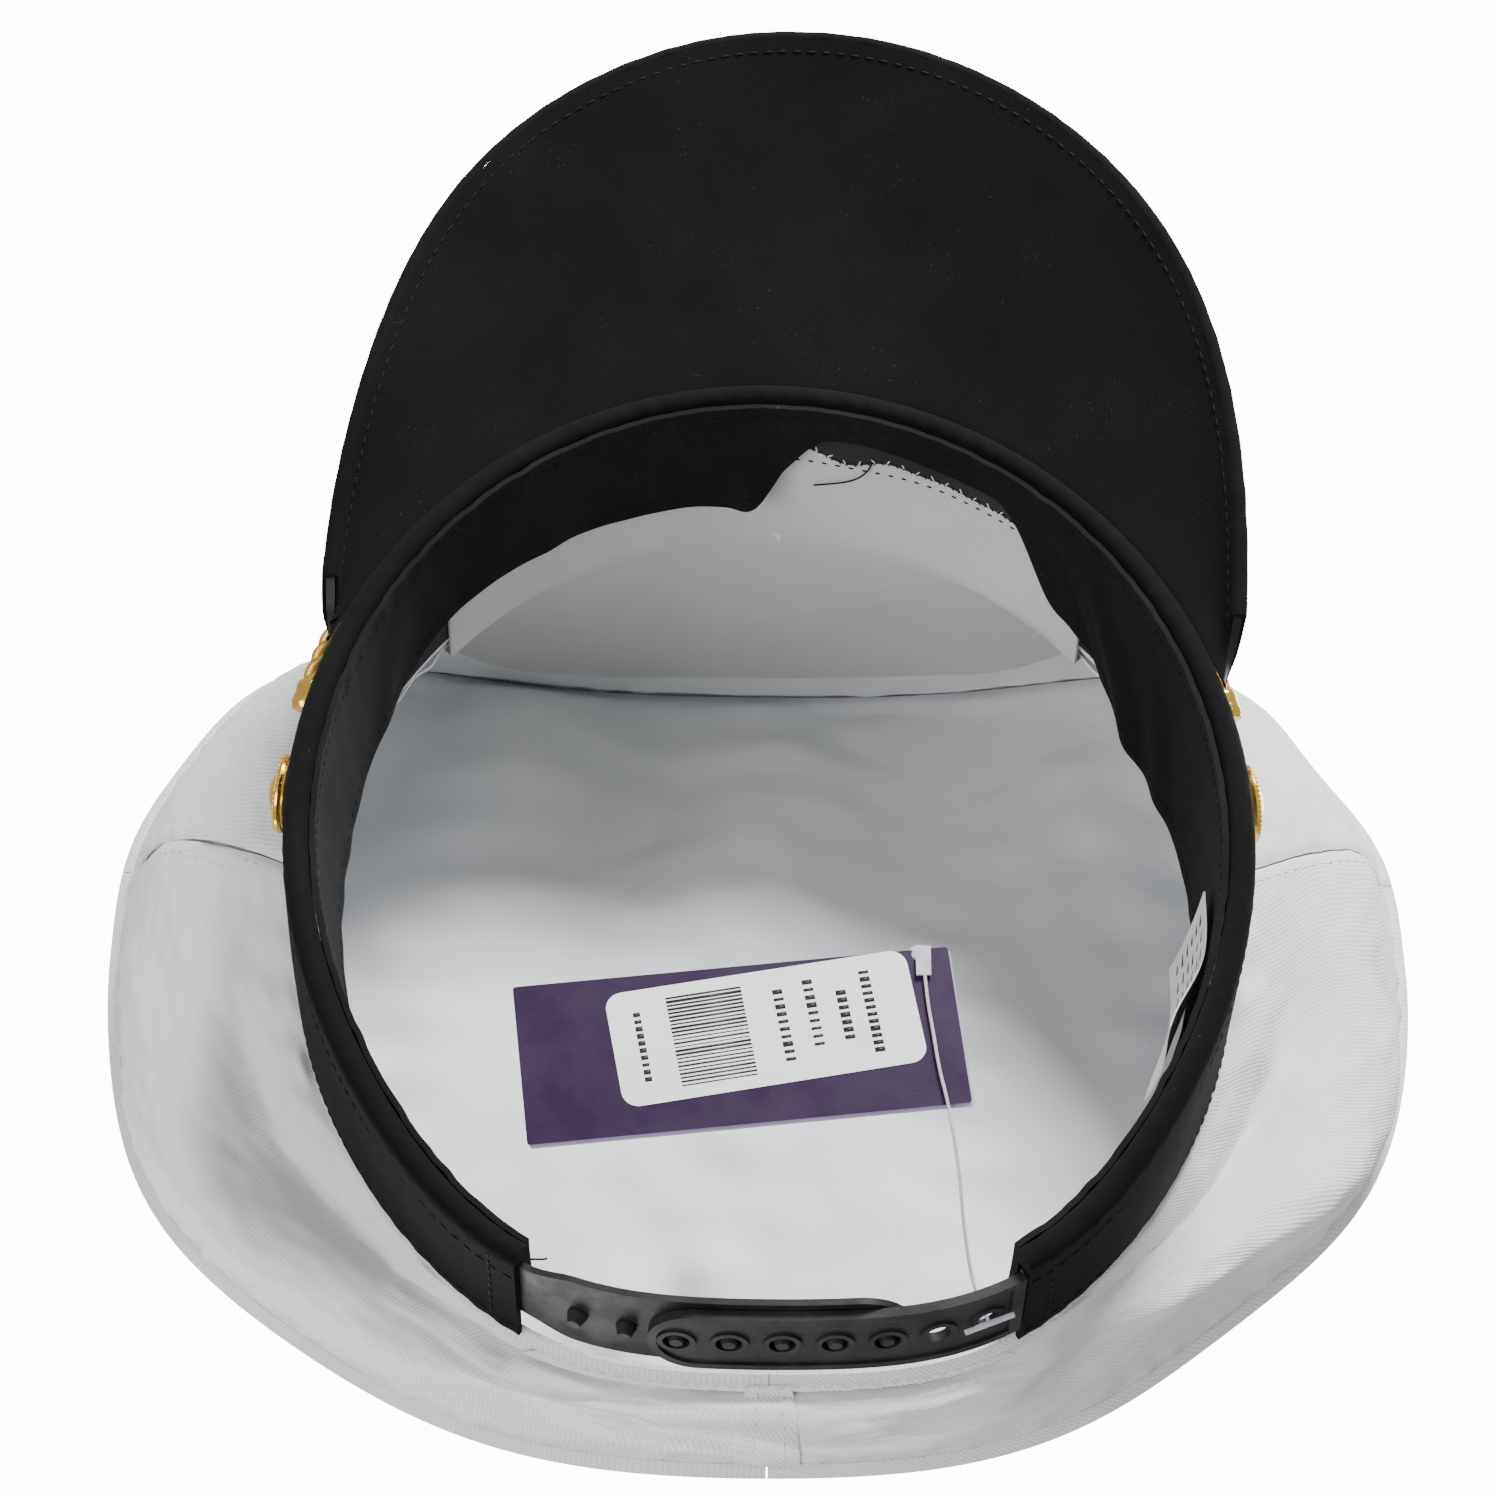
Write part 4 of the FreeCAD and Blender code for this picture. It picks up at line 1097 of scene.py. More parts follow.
class Pattern:
    """A Geometry Nodes tree with named inputs that turns a path into a repeated detail."""

    def __init__(self, name: str, inputs: dict[str, tuple[str, Any]]) -> None:
        """Starts the tree and its inputs.

        Args:
            name: The tree's name.
            inputs: Socket kind and default of each input.
        """
        self.tree = bpy.data.node_groups.new(name, "GeometryNodeTree")
        face = self.tree.interface
        face.new_socket(name="Geometry", in_out="INPUT", socket_type="NodeSocketGeometry")
        face.new_socket(name="Geometry", in_out="OUTPUT", socket_type="NodeSocketGeometry")
        self.keys: dict[str, str] = {}
        for label, (kind, default) in {**inputs, "Material": ("Material", None)}.items():
            socket = face.new_socket(name=label, in_out="INPUT", socket_type="NodeSocket" + kind)
            if default is not None:
                socket.default_value = default
            self.keys[label] = socket.identifier
        self.wires = Wiring(self.tree)
        self.given = self.tree.nodes.new("NodeGroupInput").outputs

    def finish_tree(self, made: bpy.types.NodeSocket) -> None:
        """Ends the tree: real geometry, smooth, with the material given.

        Args:
            made: What the tree has made so far.
        """
        real = self.wires.add("GeometryNodeRealizeInstances", None, {0: made})
        smooth = self.wires.add("GeometryNodeSetShadeSmooth", None, {0: real.outputs[0]})
        coloured = self.wires.add("GeometryNodeSetMaterial", None,
                                  {0: smooth.outputs[0], "Material": self.given["Material"]})
        self.wires.add("NodeGroupOutput", None, {0: coloured.outputs[0]})

    def grow(self, name: str, path: Array, facing: Array, finish: Finish, closed: bool = False,
             **values: Value) -> bpy.types.Object:
        """The pattern along one path, as a plain mesh.

        Args:
            name: The new piece's name.
            path: Points in metres, in the frame.
            facing: The way the pattern's upper side looks at each point.
            finish: What it is made of.
            closed: Whether the path joins its own start.
            **values: The tree's inputs in metres; an underscore stands for a space.

        Returns:
            The piece.
        """
        count = len(path)
        edges = [(k, (k + 1) % count) for k in range(count if closed else count - 1)]
        mesh = bpy.data.meshes.new(name + "_path")
        mesh.from_pydata(np.asarray(path).tolist(), edges, [])
        looks = mesh.attributes.new(FACING, "FLOAT_VECTOR", "POINT")
        ways = np.broadcast_to(facing, (count, 3)).astype(np.float32)
        looks.data.foreach_set("vector", ways.ravel())
        carrier = bpy.data.objects.new(name + "_path", mesh)
        bpy.context.scene.collection.objects.link(carrier)
        modifier = carrier.modifiers.new("pattern", "NODES")
        modifier.node_group = self.tree
        for label, value in values.items():
            modifier[self.keys[label.replace("_", " ")]] = value
        modifier[self.keys["Material"]] = material_of(finish)
        bpy.context.view_layer.update()
        graph = bpy.context.evaluated_depsgraph_get()
        plain = bpy.data.meshes.new_from_object(carrier.evaluated_get(graph))
        plain.name = name
        carrier.modifiers.remove(modifier)
        bpy.data.objects.remove(carrier)
        made = bpy.data.objects.new(name, plain)
        bpy.context.scene.collection.objects.link(made)
        return made


def marks_pattern() -> Pattern:
    """Stitches, beads or printed bars: one small shape every Pitch along the path.

    Each is Length along the path, Width across and Height off it, turned by Slant one way and the
    other in turn, and shorter at random by up to Length Spread.

    Returns:
        The pattern.
    """
    made = Pattern("marks_along_path", {
        "Pitch": ("Float", 0.003), "Length": ("Float", 0.002), "Width": ("Float", 0.0005),
        "Height": ("Float", 0.0005), "Slant": ("Float", 0.0), "Length Spread": ("Float", 0.0),
        "Square": ("Bool", False), "Seed": ("Int", 1)})
    wires, given = made.wires, made.given
    curve = wires.add("GeometryNodeMeshToCurve", None, {0: given["Geometry"]})
    spaced = wires.add("GeometryNodeResampleCurve", {"mode": "LENGTH"},
                       {"Curve": curve.outputs[0], "Length": given["Pitch"]})
    facing = wires.add("GeometryNodeInputNamedAttribute", {"data_type": "FLOAT_VECTOR"},
                       {"Name": FACING})
    upright = wires.add("FunctionNodeAlignRotationToVector", {"axis": "Z"},
                        {"Vector": facing.outputs[0]})
    tangent = wires.add("GeometryNodeInputTangent")
    along = wires.add("FunctionNodeAlignRotationToVector", {"axis": "X", "pivot_axis": "Z"},
                      {"Rotation": upright.outputs[0], "Vector": tangent.outputs[0]})
    index = wires.add("GeometryNodeInputIndex").outputs[0]
    side = wires.maths("MULTIPLY_ADD", wires.maths("MODULO", index, 2.0), 2.0, -1.0)
    slant = wires.add("FunctionNodeAxisAngleToRotation", None,
                      {"Axis": (0.0, 0.0, 1.0),
                       "Angle": wires.maths("MULTIPLY", side, given["Slant"])})
    turned = wires.add("FunctionNodeRotateRotation", {"rotation_space": "LOCAL"},
                       {"Rotation": along.outputs[0], "Rotate By": slant.outputs[0]})
    least = wires.maths("SUBTRACT", 1.0, given["Length Spread"])
    share = wires.add("FunctionNodeRandomValue", {"data_type": "FLOAT"},
                      {2: least, 3: 1.0, "Seed": given["Seed"]})
    half = wires.maths("MULTIPLY", wires.maths("MULTIPLY", given["Length"], 0.5), share.outputs[1])
    size = wires.add("ShaderNodeCombineXYZ", None,
                     {0: half, 1: wires.maths("MULTIPLY", given["Width"], 0.5),
                      2: wires.maths("MULTIPLY", given["Height"], 0.5)})
    ball = wires.add("GeometryNodeMeshUVSphere", None, {"Segments": 8, "Rings": 5, "Radius": 1.0})
    box = wires.add("GeometryNodeMeshCube", None, {"Size": (2.0, 2.0, 2.0)})
    shape = wires.add("GeometryNodeSwitch", {"input_type": "GEOMETRY"},
                      {"Switch": given["Square"], "False": ball.outputs[0], "True": box.outputs[0]})
    placed = wires.add("GeometryNodeInstanceOnPoints", None,
                       {"Points": spaced.outputs[0], "Instance": shape.outputs[0],
                        "Rotation": turned.outputs[0], "Scale": size.outputs[0]})
    made.finish_tree(placed.outputs[0])
    return made


def rope_pattern() -> Pattern:
    """Twisted rope: Strands of Strand Radius lie Lay Radius from the path and turn once a Pitch.

    Returns:
        The pattern.
    """
    made = Pattern("twisted_rope", {
        "Strands": ("Int", 3), "Strand Radius": ("Float", 0.001), "Lay Radius": ("Float", 0.001),
        "Pitch": ("Float", 0.009), "Step": ("Float", 0.0004), "Caps": ("Bool", True)})
    wires, given = made.wires, made.given
    curve = wires.add("GeometryNodeMeshToCurve", None, {0: given["Geometry"]})
    fine = wires.add("GeometryNodeResampleCurve", {"mode": "LENGTH"},
                     {"Curve": curve.outputs[0], "Length": given["Step"]})
    reached = wires.add("GeometryNodeSplineParameter").outputs["Length"]
    turns = wires.maths("MULTIPLY", wires.maths("DIVIDE", reached, given["Pitch"]), 2 * math.pi)
    tilted = wires.add("GeometryNodeSetCurveTilt", None, {"Curve": fine.outputs[0], "Tilt": turns})
    lay = wires.add("GeometryNodeCurvePrimitiveCircle", {"mode": "RADIUS"},
                    {"Resolution": given["Strands"], "Radius": given["Lay Radius"]})
    strand = wires.add("GeometryNodeCurvePrimitiveCircle", {"mode": "RADIUS"},
                       {"Resolution": 12, "Radius": given["Strand Radius"]})
    bundle = wires.add("GeometryNodeInstanceOnPoints", None,
                       {"Points": lay.outputs[0], "Instance": strand.outputs[0]})
    profile = wires.add("GeometryNodeRealizeInstances", None, {0: bundle.outputs[0]})
    rope = wires.add("GeometryNodeCurveToMesh", None,
                     {"Curve": tilted.outputs[0], "Profile Curve": profile.outputs[0],
                      "Fill Caps": given["Caps"]})
    made.finish_tree(rope.outputs[0])
    return made


MARKS = marks_pattern()
ROPE = rope_pattern()


def smooth_path(points: Array, count: int = 80) -> Array:
    """Even points on a smooth curve that passes near the given ones.

    Args:
        points: The points that the curve is drawn by.
        count: How many even points to give.

    Returns:
        The even points.
    """
    curve = bpy.data.curves.new("route", "CURVE")
    curve.dimensions = "3D"
    spline = curve.splines.new("NURBS")
    spline.points.add(len(points) - 1)
    for at, point in zip(spline.points, points):
        at.co = (*point, 1.0)
    spline.order_u = 4
    spline.use_endpoint_u = True
    spline.resolution_u = 24
    carrier = bpy.data.objects.new("route", curve)
    mesh = bpy.data.meshes.new_from_object(carrier)
    line = np.array([v.co for v in mesh.vertices], float)
    bpy.data.objects.remove(carrier)
    reached = np.concatenate([[0.0], np.cumsum(np.linalg.norm(np.diff(line, axis=0), axis=1))])
    even = np.linspace(0, reached[-1], count)
    return np.stack([np.interp(even, reached, line[:, k]) for k in range(3)], 1)


@dataclass(frozen=True)
class Stitching:
    """A row of machine stitches on cloth, in millimetres."""

    pitch: float = 2.9
    length: float = 2.1
    width: float = 0.42
    height: float = 0.34
    slant: float = 0.0          # degrees
    finish: Finish = WHITE_THREAD

    def sew(self, name: str, path: Array, facing: Array, body: str, slot: str) -> bpy.types.Object:
        """Sews the row.

        Args:
            name: The piece's name.
            path: Points in the band's millimetres.
            facing: The cloth's outward normals there.
            body: What it moves with.
            slot: Its material slot.

        Returns:
            The stitches.
        """
        row = MARKS.grow(name, SPACE.place(path), SPACE.turn(facing), self.finish,
                         Pitch=self.pitch * MM, Length=self.length * MM, Width=self.width * MM,
                         Height=self.height * MM, Slant=math.radians(self.slant),
                         Length_Spread=0.12)
        return dress(row, material_of(self.finish), body, slot)


# ---- band ----

@dataclass
class Band:
    """Outer cloth band with its rolled lower edge, sweatband, seam tape and inner stitches."""

    stations: int = 420
    waviness: float = 0.28          # millimetres
    sweat_thickness: float = 1.1
    sweat_stations: int = 640
    sweat_rows: int = 34
    tape_low: float = 8.4
    tape_high: float = 15.4
    tape_ends: tuple[float, float] = (-6.0, 48.0)       # degrees

    def build(self) -> None:
        """Makes every piece of the band."""
        self.outer_band()
        self.sweatband()
        self.seam_tape()
        self.stitches()
        self.hidden_strip()

    def outer_band(self) -> None:
        """The outer leg, rolled edge and inner lip as one closed cloth tube."""
        shape = SHAPE
        deg = np.linspace(-shape.band_end, shape.band_end, self.stations)
        top = shape.band_top(deg)
        inner = shape.leg + shape.slot
        wave = self.waviness * waves(deg, 3, 0.01, 0.05)
        pucker = 0.10 * waves(deg, 4, 0.12, 0.35)
        columns = []
        for share in np.linspace(0, 1, 24):
            z = top + (shape.roll - top) * share
            soft = wave * math.sin(math.pi * share) + pucker * (0.3 + 0.7 * abs(2 * share - 1) ** 3)
            edge = 0.45 * max(0.0, 1 - share * 24 / 1.5)
            columns.append((edge - soft * 0.6, z - edge * 0.2))
        for a in np.radians(np.linspace(12, 168, 14)):
            squeeze = pucker * math.sin(a)
            columns.append((shape.roll - (shape.roll - squeeze) * math.cos(a),
                            shape.roll - (shape.roll + 0.6 * squeeze) * math.sin(a)))
        for z in np.linspace(shape.roll, shape.lip_height - 0.3, 6):
            columns.append((2 * shape.roll + 0.2 * pucker, z))
        columns += [(2 * shape.roll - 0.35, shape.lip_height), (inner + 0.35, shape.lip_height),
                    (inner, shape.lip_height - 0.35), (inner, shape.slot_floor),
                    (shape.leg, shape.slot_floor), (shape.leg, top - 0.4), (shape.leg - 0.4, top)]
        grid = np.stack([shape.ring(deg, inset + 0 * deg, z + 0 * deg) for inset, z in columns])
        piece = self.closed_tube("band_cloth", grid)
        dress(piece, material_of(BLACK_CLOTH), "cap", "black_cloth", "hat_band")

    @staticmethod
    def closed_tube(name: str, sections: Array) -> bpy.types.Object:
        """A tube whose section closes on itself, with flat ends.

        Args:
            name: The piece's name.
            sections: Points by place round the section, then by station along the tube.

        Returns:
            The piece.
        """
        around, stations = sections.shape[:2]
        flat = cloth_lengths(sections, wrap=True)[..., ::-1]
        i, j = np.meshgrid(np.arange(around), np.arange(stations - 1), indexing="ij")
        i, j = i.ravel(), j.ravel()
        turn = [(i, j), (i + 1, j), (i + 1, j + 1), (i, j + 1)]
        faces = np.stack([(a % around) * stations + b for a, b in turn], 1).tolist()
        maps = np.stack([flat[a, b] for a, b in turn], 1).reshape(-1, 2).tolist()
        for end, order in ((0, range(around)), (stations - 1, range(around - 1, -1, -1))):
            faces.append([a * stations + end for a in order])
            maps += [flat[a, end].tolist() for a in order]
        piece = mesh_object(name, sections.reshape(-1, 3), faces, np.array(maps), sharp=60)
        return close_seams(piece, 1e-7)

    def sweat_top(self, deg: Array) -> Array:
        """Free upper edge of the sweatband, lower over a stretch left of the front.

        Args:
            deg: Degrees round the band from the front.

        Returns:
            The heights.
        """
        side = (deg + 180) % 360 - 180
        top = (25.5 + 11.0 * ease(side, 42, 68) + 10.5 * ease(-side, 46, 92)
               + 2.5 * bump(side, -14, 12))
        top = top - 15.5 * ease(side, -3.0, 9.0) * (1 - ease(side, 33, 47))
        top = top + 0.3 * waves(deg, 12, 0.01, 0.05)
        return top + (SHAPE.end_height - 3 - 36) * ease(from_front(deg), 100, 148)

    def sweat_face(self, deg: Array, z: Array) -> Array:
        """Outer face of the sweatband, with its lean, its pinch and its folds.

        Args:
            deg: Degrees round the band from the front.
            z: Height over the band's lower edge.

        Returns:
            The points.
        """
        side = (deg + 180) % 360 - 180
        up = z / SHAPE.sweat_height
        lean = 2.6 + 0.6 * np.sin(np.radians(7 * side)) + 5.5 * bump(side, -2.0, 7.0)
        inset = 2 * SHAPE.roll + 0.12 + lean * up ** 2
        pinch = (1.5 * bump(side, -3.2 + 0.14 * (z - 20), 2.0)
                 - 1.0 * bump(side, 1.8 + 0.1 * (z - 20), 1.8))
        folds = sum(size * bump(side, at + slope * (z - 18), width)
                    for at, slope, width, size in ((40, 0.55, 2.2, 1.5), (47, 0.5, 1.6, -0.8),
                                                   (54, 0.6, 2.6, 1.7), (66, 0.4, 3.0, 0.9),
                                                   (-30, -0.5, 3.5, 0.7), (-62, -0.35, 3.0, 0.6)))
        loose = 0.34 * waves(deg, 14, 0.008, 0.035) + 0.05 * waves(deg, 15, 0.1, 0.2)
        seam = 0.10 * waves(deg, 16, 0.1, 0.3) * np.exp(-np.maximum(0, z - 2.5) / 3.0)
        inset = inset + (pinch + folds) * ease(up, 0.12, 0.75) + loose * up ** 1.5 + seam
        return SHAPE.ring(deg, np.maximum(inset, 2 * SHAPE.roll + 0.08), z)

    def sweatband(self) -> None:
        """The soft inner band that touches the head."""
        end = SHAPE.band_end - 0.6
        deg = np.linspace(-end, end, self.sweat_stations)[:, None]
        share = np.linspace(0, 1, self.sweat_rows)[None]
        z = 1.6 + (self.sweat_top(deg) - 1.6) * share
        outer = self.sweat_face(np.broadcast_to(deg, z.shape), z)
        piece = cloth_shell("sweatband_cloth", outer, self.sweat_thickness)
        dress(piece, material_of(SWEAT_CLOTH), "cap", "sweat_cloth", "sweatband")
        rows = Stitching(2.6, 1.8, 0.36, 0.3, finish=BLACK_THREAD)
        line = np.linspace(-end + 1, end - 1, 700)
        for label, height in (("foot", 4.2), ("hem", None)):
            z = self.sweat_top(line) - 2.6 if height is None else np.full_like(line, height)
            inward = inward_way(line)
            path = self.sweat_face(line, z) + inward * (self.sweat_thickness + 0.05)
            rows.sew("sweatband_%s_stitches" % label, path, inward, "cap", "sweat_cloth")

    def tape_face(self, deg: Array, z: Array) -> Array:
        """Outer face of the seam tape inside the front."""
        return SHAPE.ring(deg, 2 * SHAPE.roll - 0.44, z)

    def seam_tape(self) -> None:
        """Tape over the seam between band and crown, overcast along its upper edge."""
        deg = np.linspace(*self.tape_ends, 240)[:, None]
        low = self.tape_low + np.zeros_like(deg)
        high = self.tape_high + 0.7 * waves(deg, 22, 0.03, 0.12)
        z = low + (high - low) * np.linspace(0, 1, 12)[None]
        face = self.tape_face(np.broadcast_to(deg, z.shape), z)
        piece = cloth_shell("seam_tape_cloth", face, 0.35)
        dress(piece, material_of(TAPE_CLOTH), "cap", "grey_tape", "seam_tape")

    def stitches(self) -> None:
        """Overcast edge of the tape and the black row that holds the front's stiff sheet."""
        line = np.linspace(*self.tape_ends, 400)
        inward = inward_way(line)
        edge = self.tape_high + 0.7 * waves(line, 22, 0.03, 0.12)
        for label, finish, drop in (("black", BLACK_THREAD, 0.2), ("white", WHITE_THREAD, 0.75)):
            overcast = Stitching(1.5 if drop < 0.5 else 3.1, 1.5, 0.3, 0.3, slant=58, finish=finish)
            path = self.tape_face(line, edge - drop) + inward * 0.42
            overcast.sew("tape_overcast_" + label, path, inward, "cap", "grey_tape")
        path, facing = CROWN.front_sheet_line()
        dark_row = Stitching(2.7, 1.3, 0.42, 0.4, finish=BLACK_THREAD)
        dark_row.sew("front_sheet_stitches", path, facing, "cap", "black_cloth")
        edge = np.linspace(-SHAPE.band_end + 1, SHAPE.band_end - 1, 700)
        outward = np.concatenate([SHAPE.outward(edge), np.zeros((len(edge), 1))], 1)
        plain = Stitching(2.9, 2.1, 0.38, 0.26, finish=BLACK_THREAD)
        for label, z in (("lower", 6.4 + 0 * edge), ("upper", SHAPE.band_top(edge) - 3.0)):
            plain.sew("band_%s_stitches" % label, SHAPE.ring(edge, -0.02, z), outward,
                      "cap", "black_cloth")

    @staticmethod
    def hidden_strip() -> None:
        """The stiff strip in the band's slot keeps its frame shape."""
        finish_node("band_stiffener", BOARD_SHEET)


BAND = Band()


# ---- crown ----

@dataclass
class Crown:
    """Front panel, quarters, top, linings, stiff front sheet and their seams."""

    panel_stations: int = 300
    quarter_stations: int = 240
    wall_steps: int = 84
    seam_groove: float = 0.75       # millimetres
    top_rings: int = 70
    top_stations: int = 420
    lining_rho: float = 0.965
    lining_drop: float = 3.9
    sheet_foot: float = 48.0        # degrees either side of the front
    sheet_head: float = 21.0
    sheet_low: float = 9.0          # the sheet's lower edge

    def build(self) -> None:
        """Makes every piece of the crown."""
        self.front_panel()
        self.quarters()
        self.top()
        self.back_seam()
        self.rear_hem()
        self.side_lining()
        self.disc_lining()
        self.front_sheet()
        self.rim_stitches()

    def drape(self, deg: Array, v: Array) -> Array:
        """How far the side's cloth stands off its smooth shape, in millimetres outward.

        Args:
            deg: Degrees round the band from the front.
            v: 0 over the band to 1 under the rim.

        Returns:
            The distances.
        """
        back = from_front(deg)
        soft = 0.25 + 0.75 * ease(back, 50, 110)
        turn = deg % 360
        foot = 0.42 * np.exp(-v / 0.10) * waves(deg, 31, 0.04, 0.14)
        flanks = bump(turn, 118, 21) + 0.8 * bump(turn, 238, 24) + 0.45 * bump(turn, 180, 24)
        crease = 0.44 - 0.16 * ease(from_front(deg), 100, 165)
        tuck = flanks * (8.0 * bump(v, crease + 0.27, 0.22) - 8.0 * bump(v, crease - 0.17, 0.13))
        rim = 0.34 * np.exp(-(1 - v) / 0.07) * waves(deg, 32, 0.10, 0.35)
        broad = 1.15 * np.sin(math.pi * np.clip(v, 0, 1)) * swell(deg / 60, v * 1.3, 33, 0.5, 1.7)
        sag = (0.95 * soft * np.sin(math.pi * np.clip(v, 0, 1))
               * swell(deg / 22, v * 2.2, 34, 0.6, 1.6))
        fine = 0.10 * swell(deg / 5, v * 8, 35, 0.5, 1.5)
        fold = -0.85 * bump(v, 0.34 + 0.0015 * (turn - 195), 0.028) * bump(turn, 197, 14)
        fold += 0.55 * bump(v, 0.41 + 0.0015 * (turn - 195), 0.04) * bump(turn, 197, 16)
        fold -= 0.6 * bump(v, 0.30 - 0.002 * (turn - 165), 0.03) * bump(turn, 165, 9)
        for at, lean, size in ((99, 30, 1.5), (113, 44, -1.2), (252, -36, 1.6), (237, -48, -1.3),
                               (221, -44, 1.2), (143, 34, 1.2), (205, -30, -0.8)):
            fold += size * bump(turn, at + lean * v, 4.6) * np.exp(-v / 0.55)
        return foot + rim + tuck + (broad * (0.35 + 0.65 * soft) + sag) * 0.9 + fine + fold

    def panel_face(self, low: float, high: float, count: int) -> Array:
        """Outer face of one side panel from tucked edge to rim, its side edges turned in.

        Args:
            low: Angle of its first side edge.
            high: Angle of its other side edge.
            count: Stations between them.

        Returns:
            The grid.
        """
        deg = np.linspace(low, high, count)
        v = np.linspace(0, 1, self.wall_steps) ** 1.08
        wall = SHAPE.wall(deg[:, None], v[None])
        offset = self.drape(deg[:, None], v[None])
        millimetres = np.minimum(deg - low, high - deg)[:, None] * math.radians(105)
        offset = offset - self.seam_groove * np.exp(-(millimetres / 1.1) ** 2)
        wall = wall + grid_normals(wall) * (offset * held(v)[None])[..., None]
        tuck = SHAPE.tucked(deg)
        steps = [tuck[:, 0], (tuck[:, 0] + tuck[:, 1]) / 2, tuck[:, 1],
                 (tuck[:, 1] + tuck[:, 2]) / 2, tuck[:, 2], tuck[:, 3]]
        turned = [SHAPE.rim_spot(deg, out, up) for out, up in ((0.6, -0.5), (1.0, 0.1), (0.8, 0.75),
                                                               (0.0, 1.15), (-0.9, 0.9))]
        return np.concatenate([np.stack(steps, 1), wall, np.stack(turned, 1)], 1)

    def front_panel(self) -> None:
        """The raised front, with its puckered foot."""
        edge = SHAPE.seam - 0.1
        piece = cloth_shell("front_panel_cloth", self.panel_face(-edge, edge, self.panel_stations),
                            SHAPE.cloth)
        dress(piece, material_of(CROWN_CLOTH), "cap", "crown_cloth", "front_panel")

    def quarters(self) -> None:
        """The two rear quarters and the topstitching beside the side seams."""
        seam = SHAPE.seam + 0.1
        for name, low, high in (("left_quarter", seam, 179.95),
                                ("right_quarter", 180.05, 360 - seam)):
            face = self.panel_face(low, high, self.quarter_stations)
            piece = cloth_shell(name + "_cloth", face, SHAPE.cloth)
            dress(piece, material_of(CROWN_CLOTH), "cap", "crown_cloth", name)
        for name, deg in (("left", SHAPE.seam + 1.6), ("right", -SHAPE.seam - 1.6)):
            self.wall_stitches("%s_seam_stitches" % name, deg, 0.04, 0.97)

    def wall_stitches(self, name: str, deg: float, low: float, high: float) -> None:
        """A row of stitches up the side's cloth at one angle.

        Args:
            name: The piece's name.
            deg: Degrees round the band from the front.
            low: Where the row starts, from 0 to 1 up the side.
            high: Where it ends.
        """
        around = np.linspace(deg - 1, deg + 1, 3)
        v = np.linspace(low, high, 90)
        wall = SHAPE.wall(around[:, None], v[None])
        facing = grid_normals(wall)[1]
        off = self.drape(np.full_like(v, deg), v)
        Stitching(2.6, 1.9, 0.34, 0.26).sew(name, wall[1] + facing * (off + 0.02)[:, None], facing,
                                            "cap", "crown_cloth")

    def top(self) -> None:
        """The crown's top, its edge dipping a little at the rim."""
        rho = np.concatenate([np.linspace(0, 0.9, self.top_rings - 22),
                              np.linspace(0.9, 0.992, 22)[1:]])
        deg = np.linspace(0, 360, self.top_stations, endpoint=False)
        x, y = SHAPE.rim_plan(deg[:, None], rho[None])
        rim = np.exp(-(1 - rho) / 0.05)[None]
        lift = (0.55 * swell(x / 90, y / 90, 41, 0.5, 1.5)
                + 0.28 * swell(x / 30, y / 30, 42, 0.5, 1.5)
                + 0.30 * rim * waves(deg[:, None], 43, 0.05, 0.25))
        lift = lift * (1 - ease(rho, 0.965, 0.995))[None]
        dip = -0.35 * np.exp(-((1 - rho) * 130 / 1.6) ** 2)[None]
        face = np.stack([x, y, SHAPE.crown_height(x, y) + lift + dip], -1)
        face = face[::-1]
        plan = face[..., :2]
        uv = np.concatenate([plan, plan[:1]])
        under = face - np.array([0.0, 0.0, SHAPE.top_cloth])
        piece = cloth_shell("crown_top_cloth", face[:, ::-1], SHAPE.top_cloth, wrap=True,
                            uv=uv[:, ::-1], inner=under[:, ::-1])
        close_seams(piece)
        dress(piece, material_of(CROWN_CLOTH), "cap", "crown_cloth", "crown_top")

    def rim_stitches(self) -> None:
        """Topstitching round the top, beside the rim's seam."""
        deg = np.linspace(0, 360, 720, endpoint=False)
        x, y = SHAPE.rim_plan(deg, 0.972)
        step = 0.5
        z = SHAPE.crown_height(x, y)
        height = SHAPE.crown_height
        slope = np.stack([(height(x - step, y) - height(x + step, y)) / (2 * step),
                          (height(x, y - step) - height(x, y + step)) / (2 * step),
                          np.ones_like(x)], -1)
        thread = Stitching(2.7, 2.0, 0.34, 0.26)
        lift = 0.28 * (1 - ease(0.972, 0.965, 0.995))
        thread.sew("top_rim_stitches", np.stack([x, y, z + lift * waves(deg, 43, 0.05, 0.25)], -1),
                   unit(slope), "cap", "crown_cloth")

    def back_seam(self) -> None:
        """Felled seam that laps one quarter over the other, with its two rows of stitches."""
        deg = np.linspace(177.6, 182.4, 13)
        v = np.linspace(0.0, 0.995, 90)
        wall = SHAPE.wall(deg[:, None], v[None])
        normal = grid_normals(wall)
        off = self.drape(deg[:, None], v[None]) * held(v)[None]
        crest = 0.72 - 0.34 * ease(deg, 179.2, 182.4) - 0.3 * bump(deg, 177.6, 0.35)
        outer = wall + normal * (off + crest[:, None])[..., None]
        inner = wall + normal * (off * 0.2 - 0.35)[..., None]
        piece = cloth_shell("back_seam_cloth", outer, 0.7, inner=inner)
        dress(piece, material_of(CROWN_CLOTH), "cap", "crown_cloth", "back_seam")
        for name, at in (("left", 3), ("right", 9)):
            row = outer[at, 2:-2]
            Stitching(2.5, 1.8, 0.32, 0.26).sew("back_seam_%s_stitches" % name, row,
                                                normal[at, 2:-2], "cap", "crown_cloth")

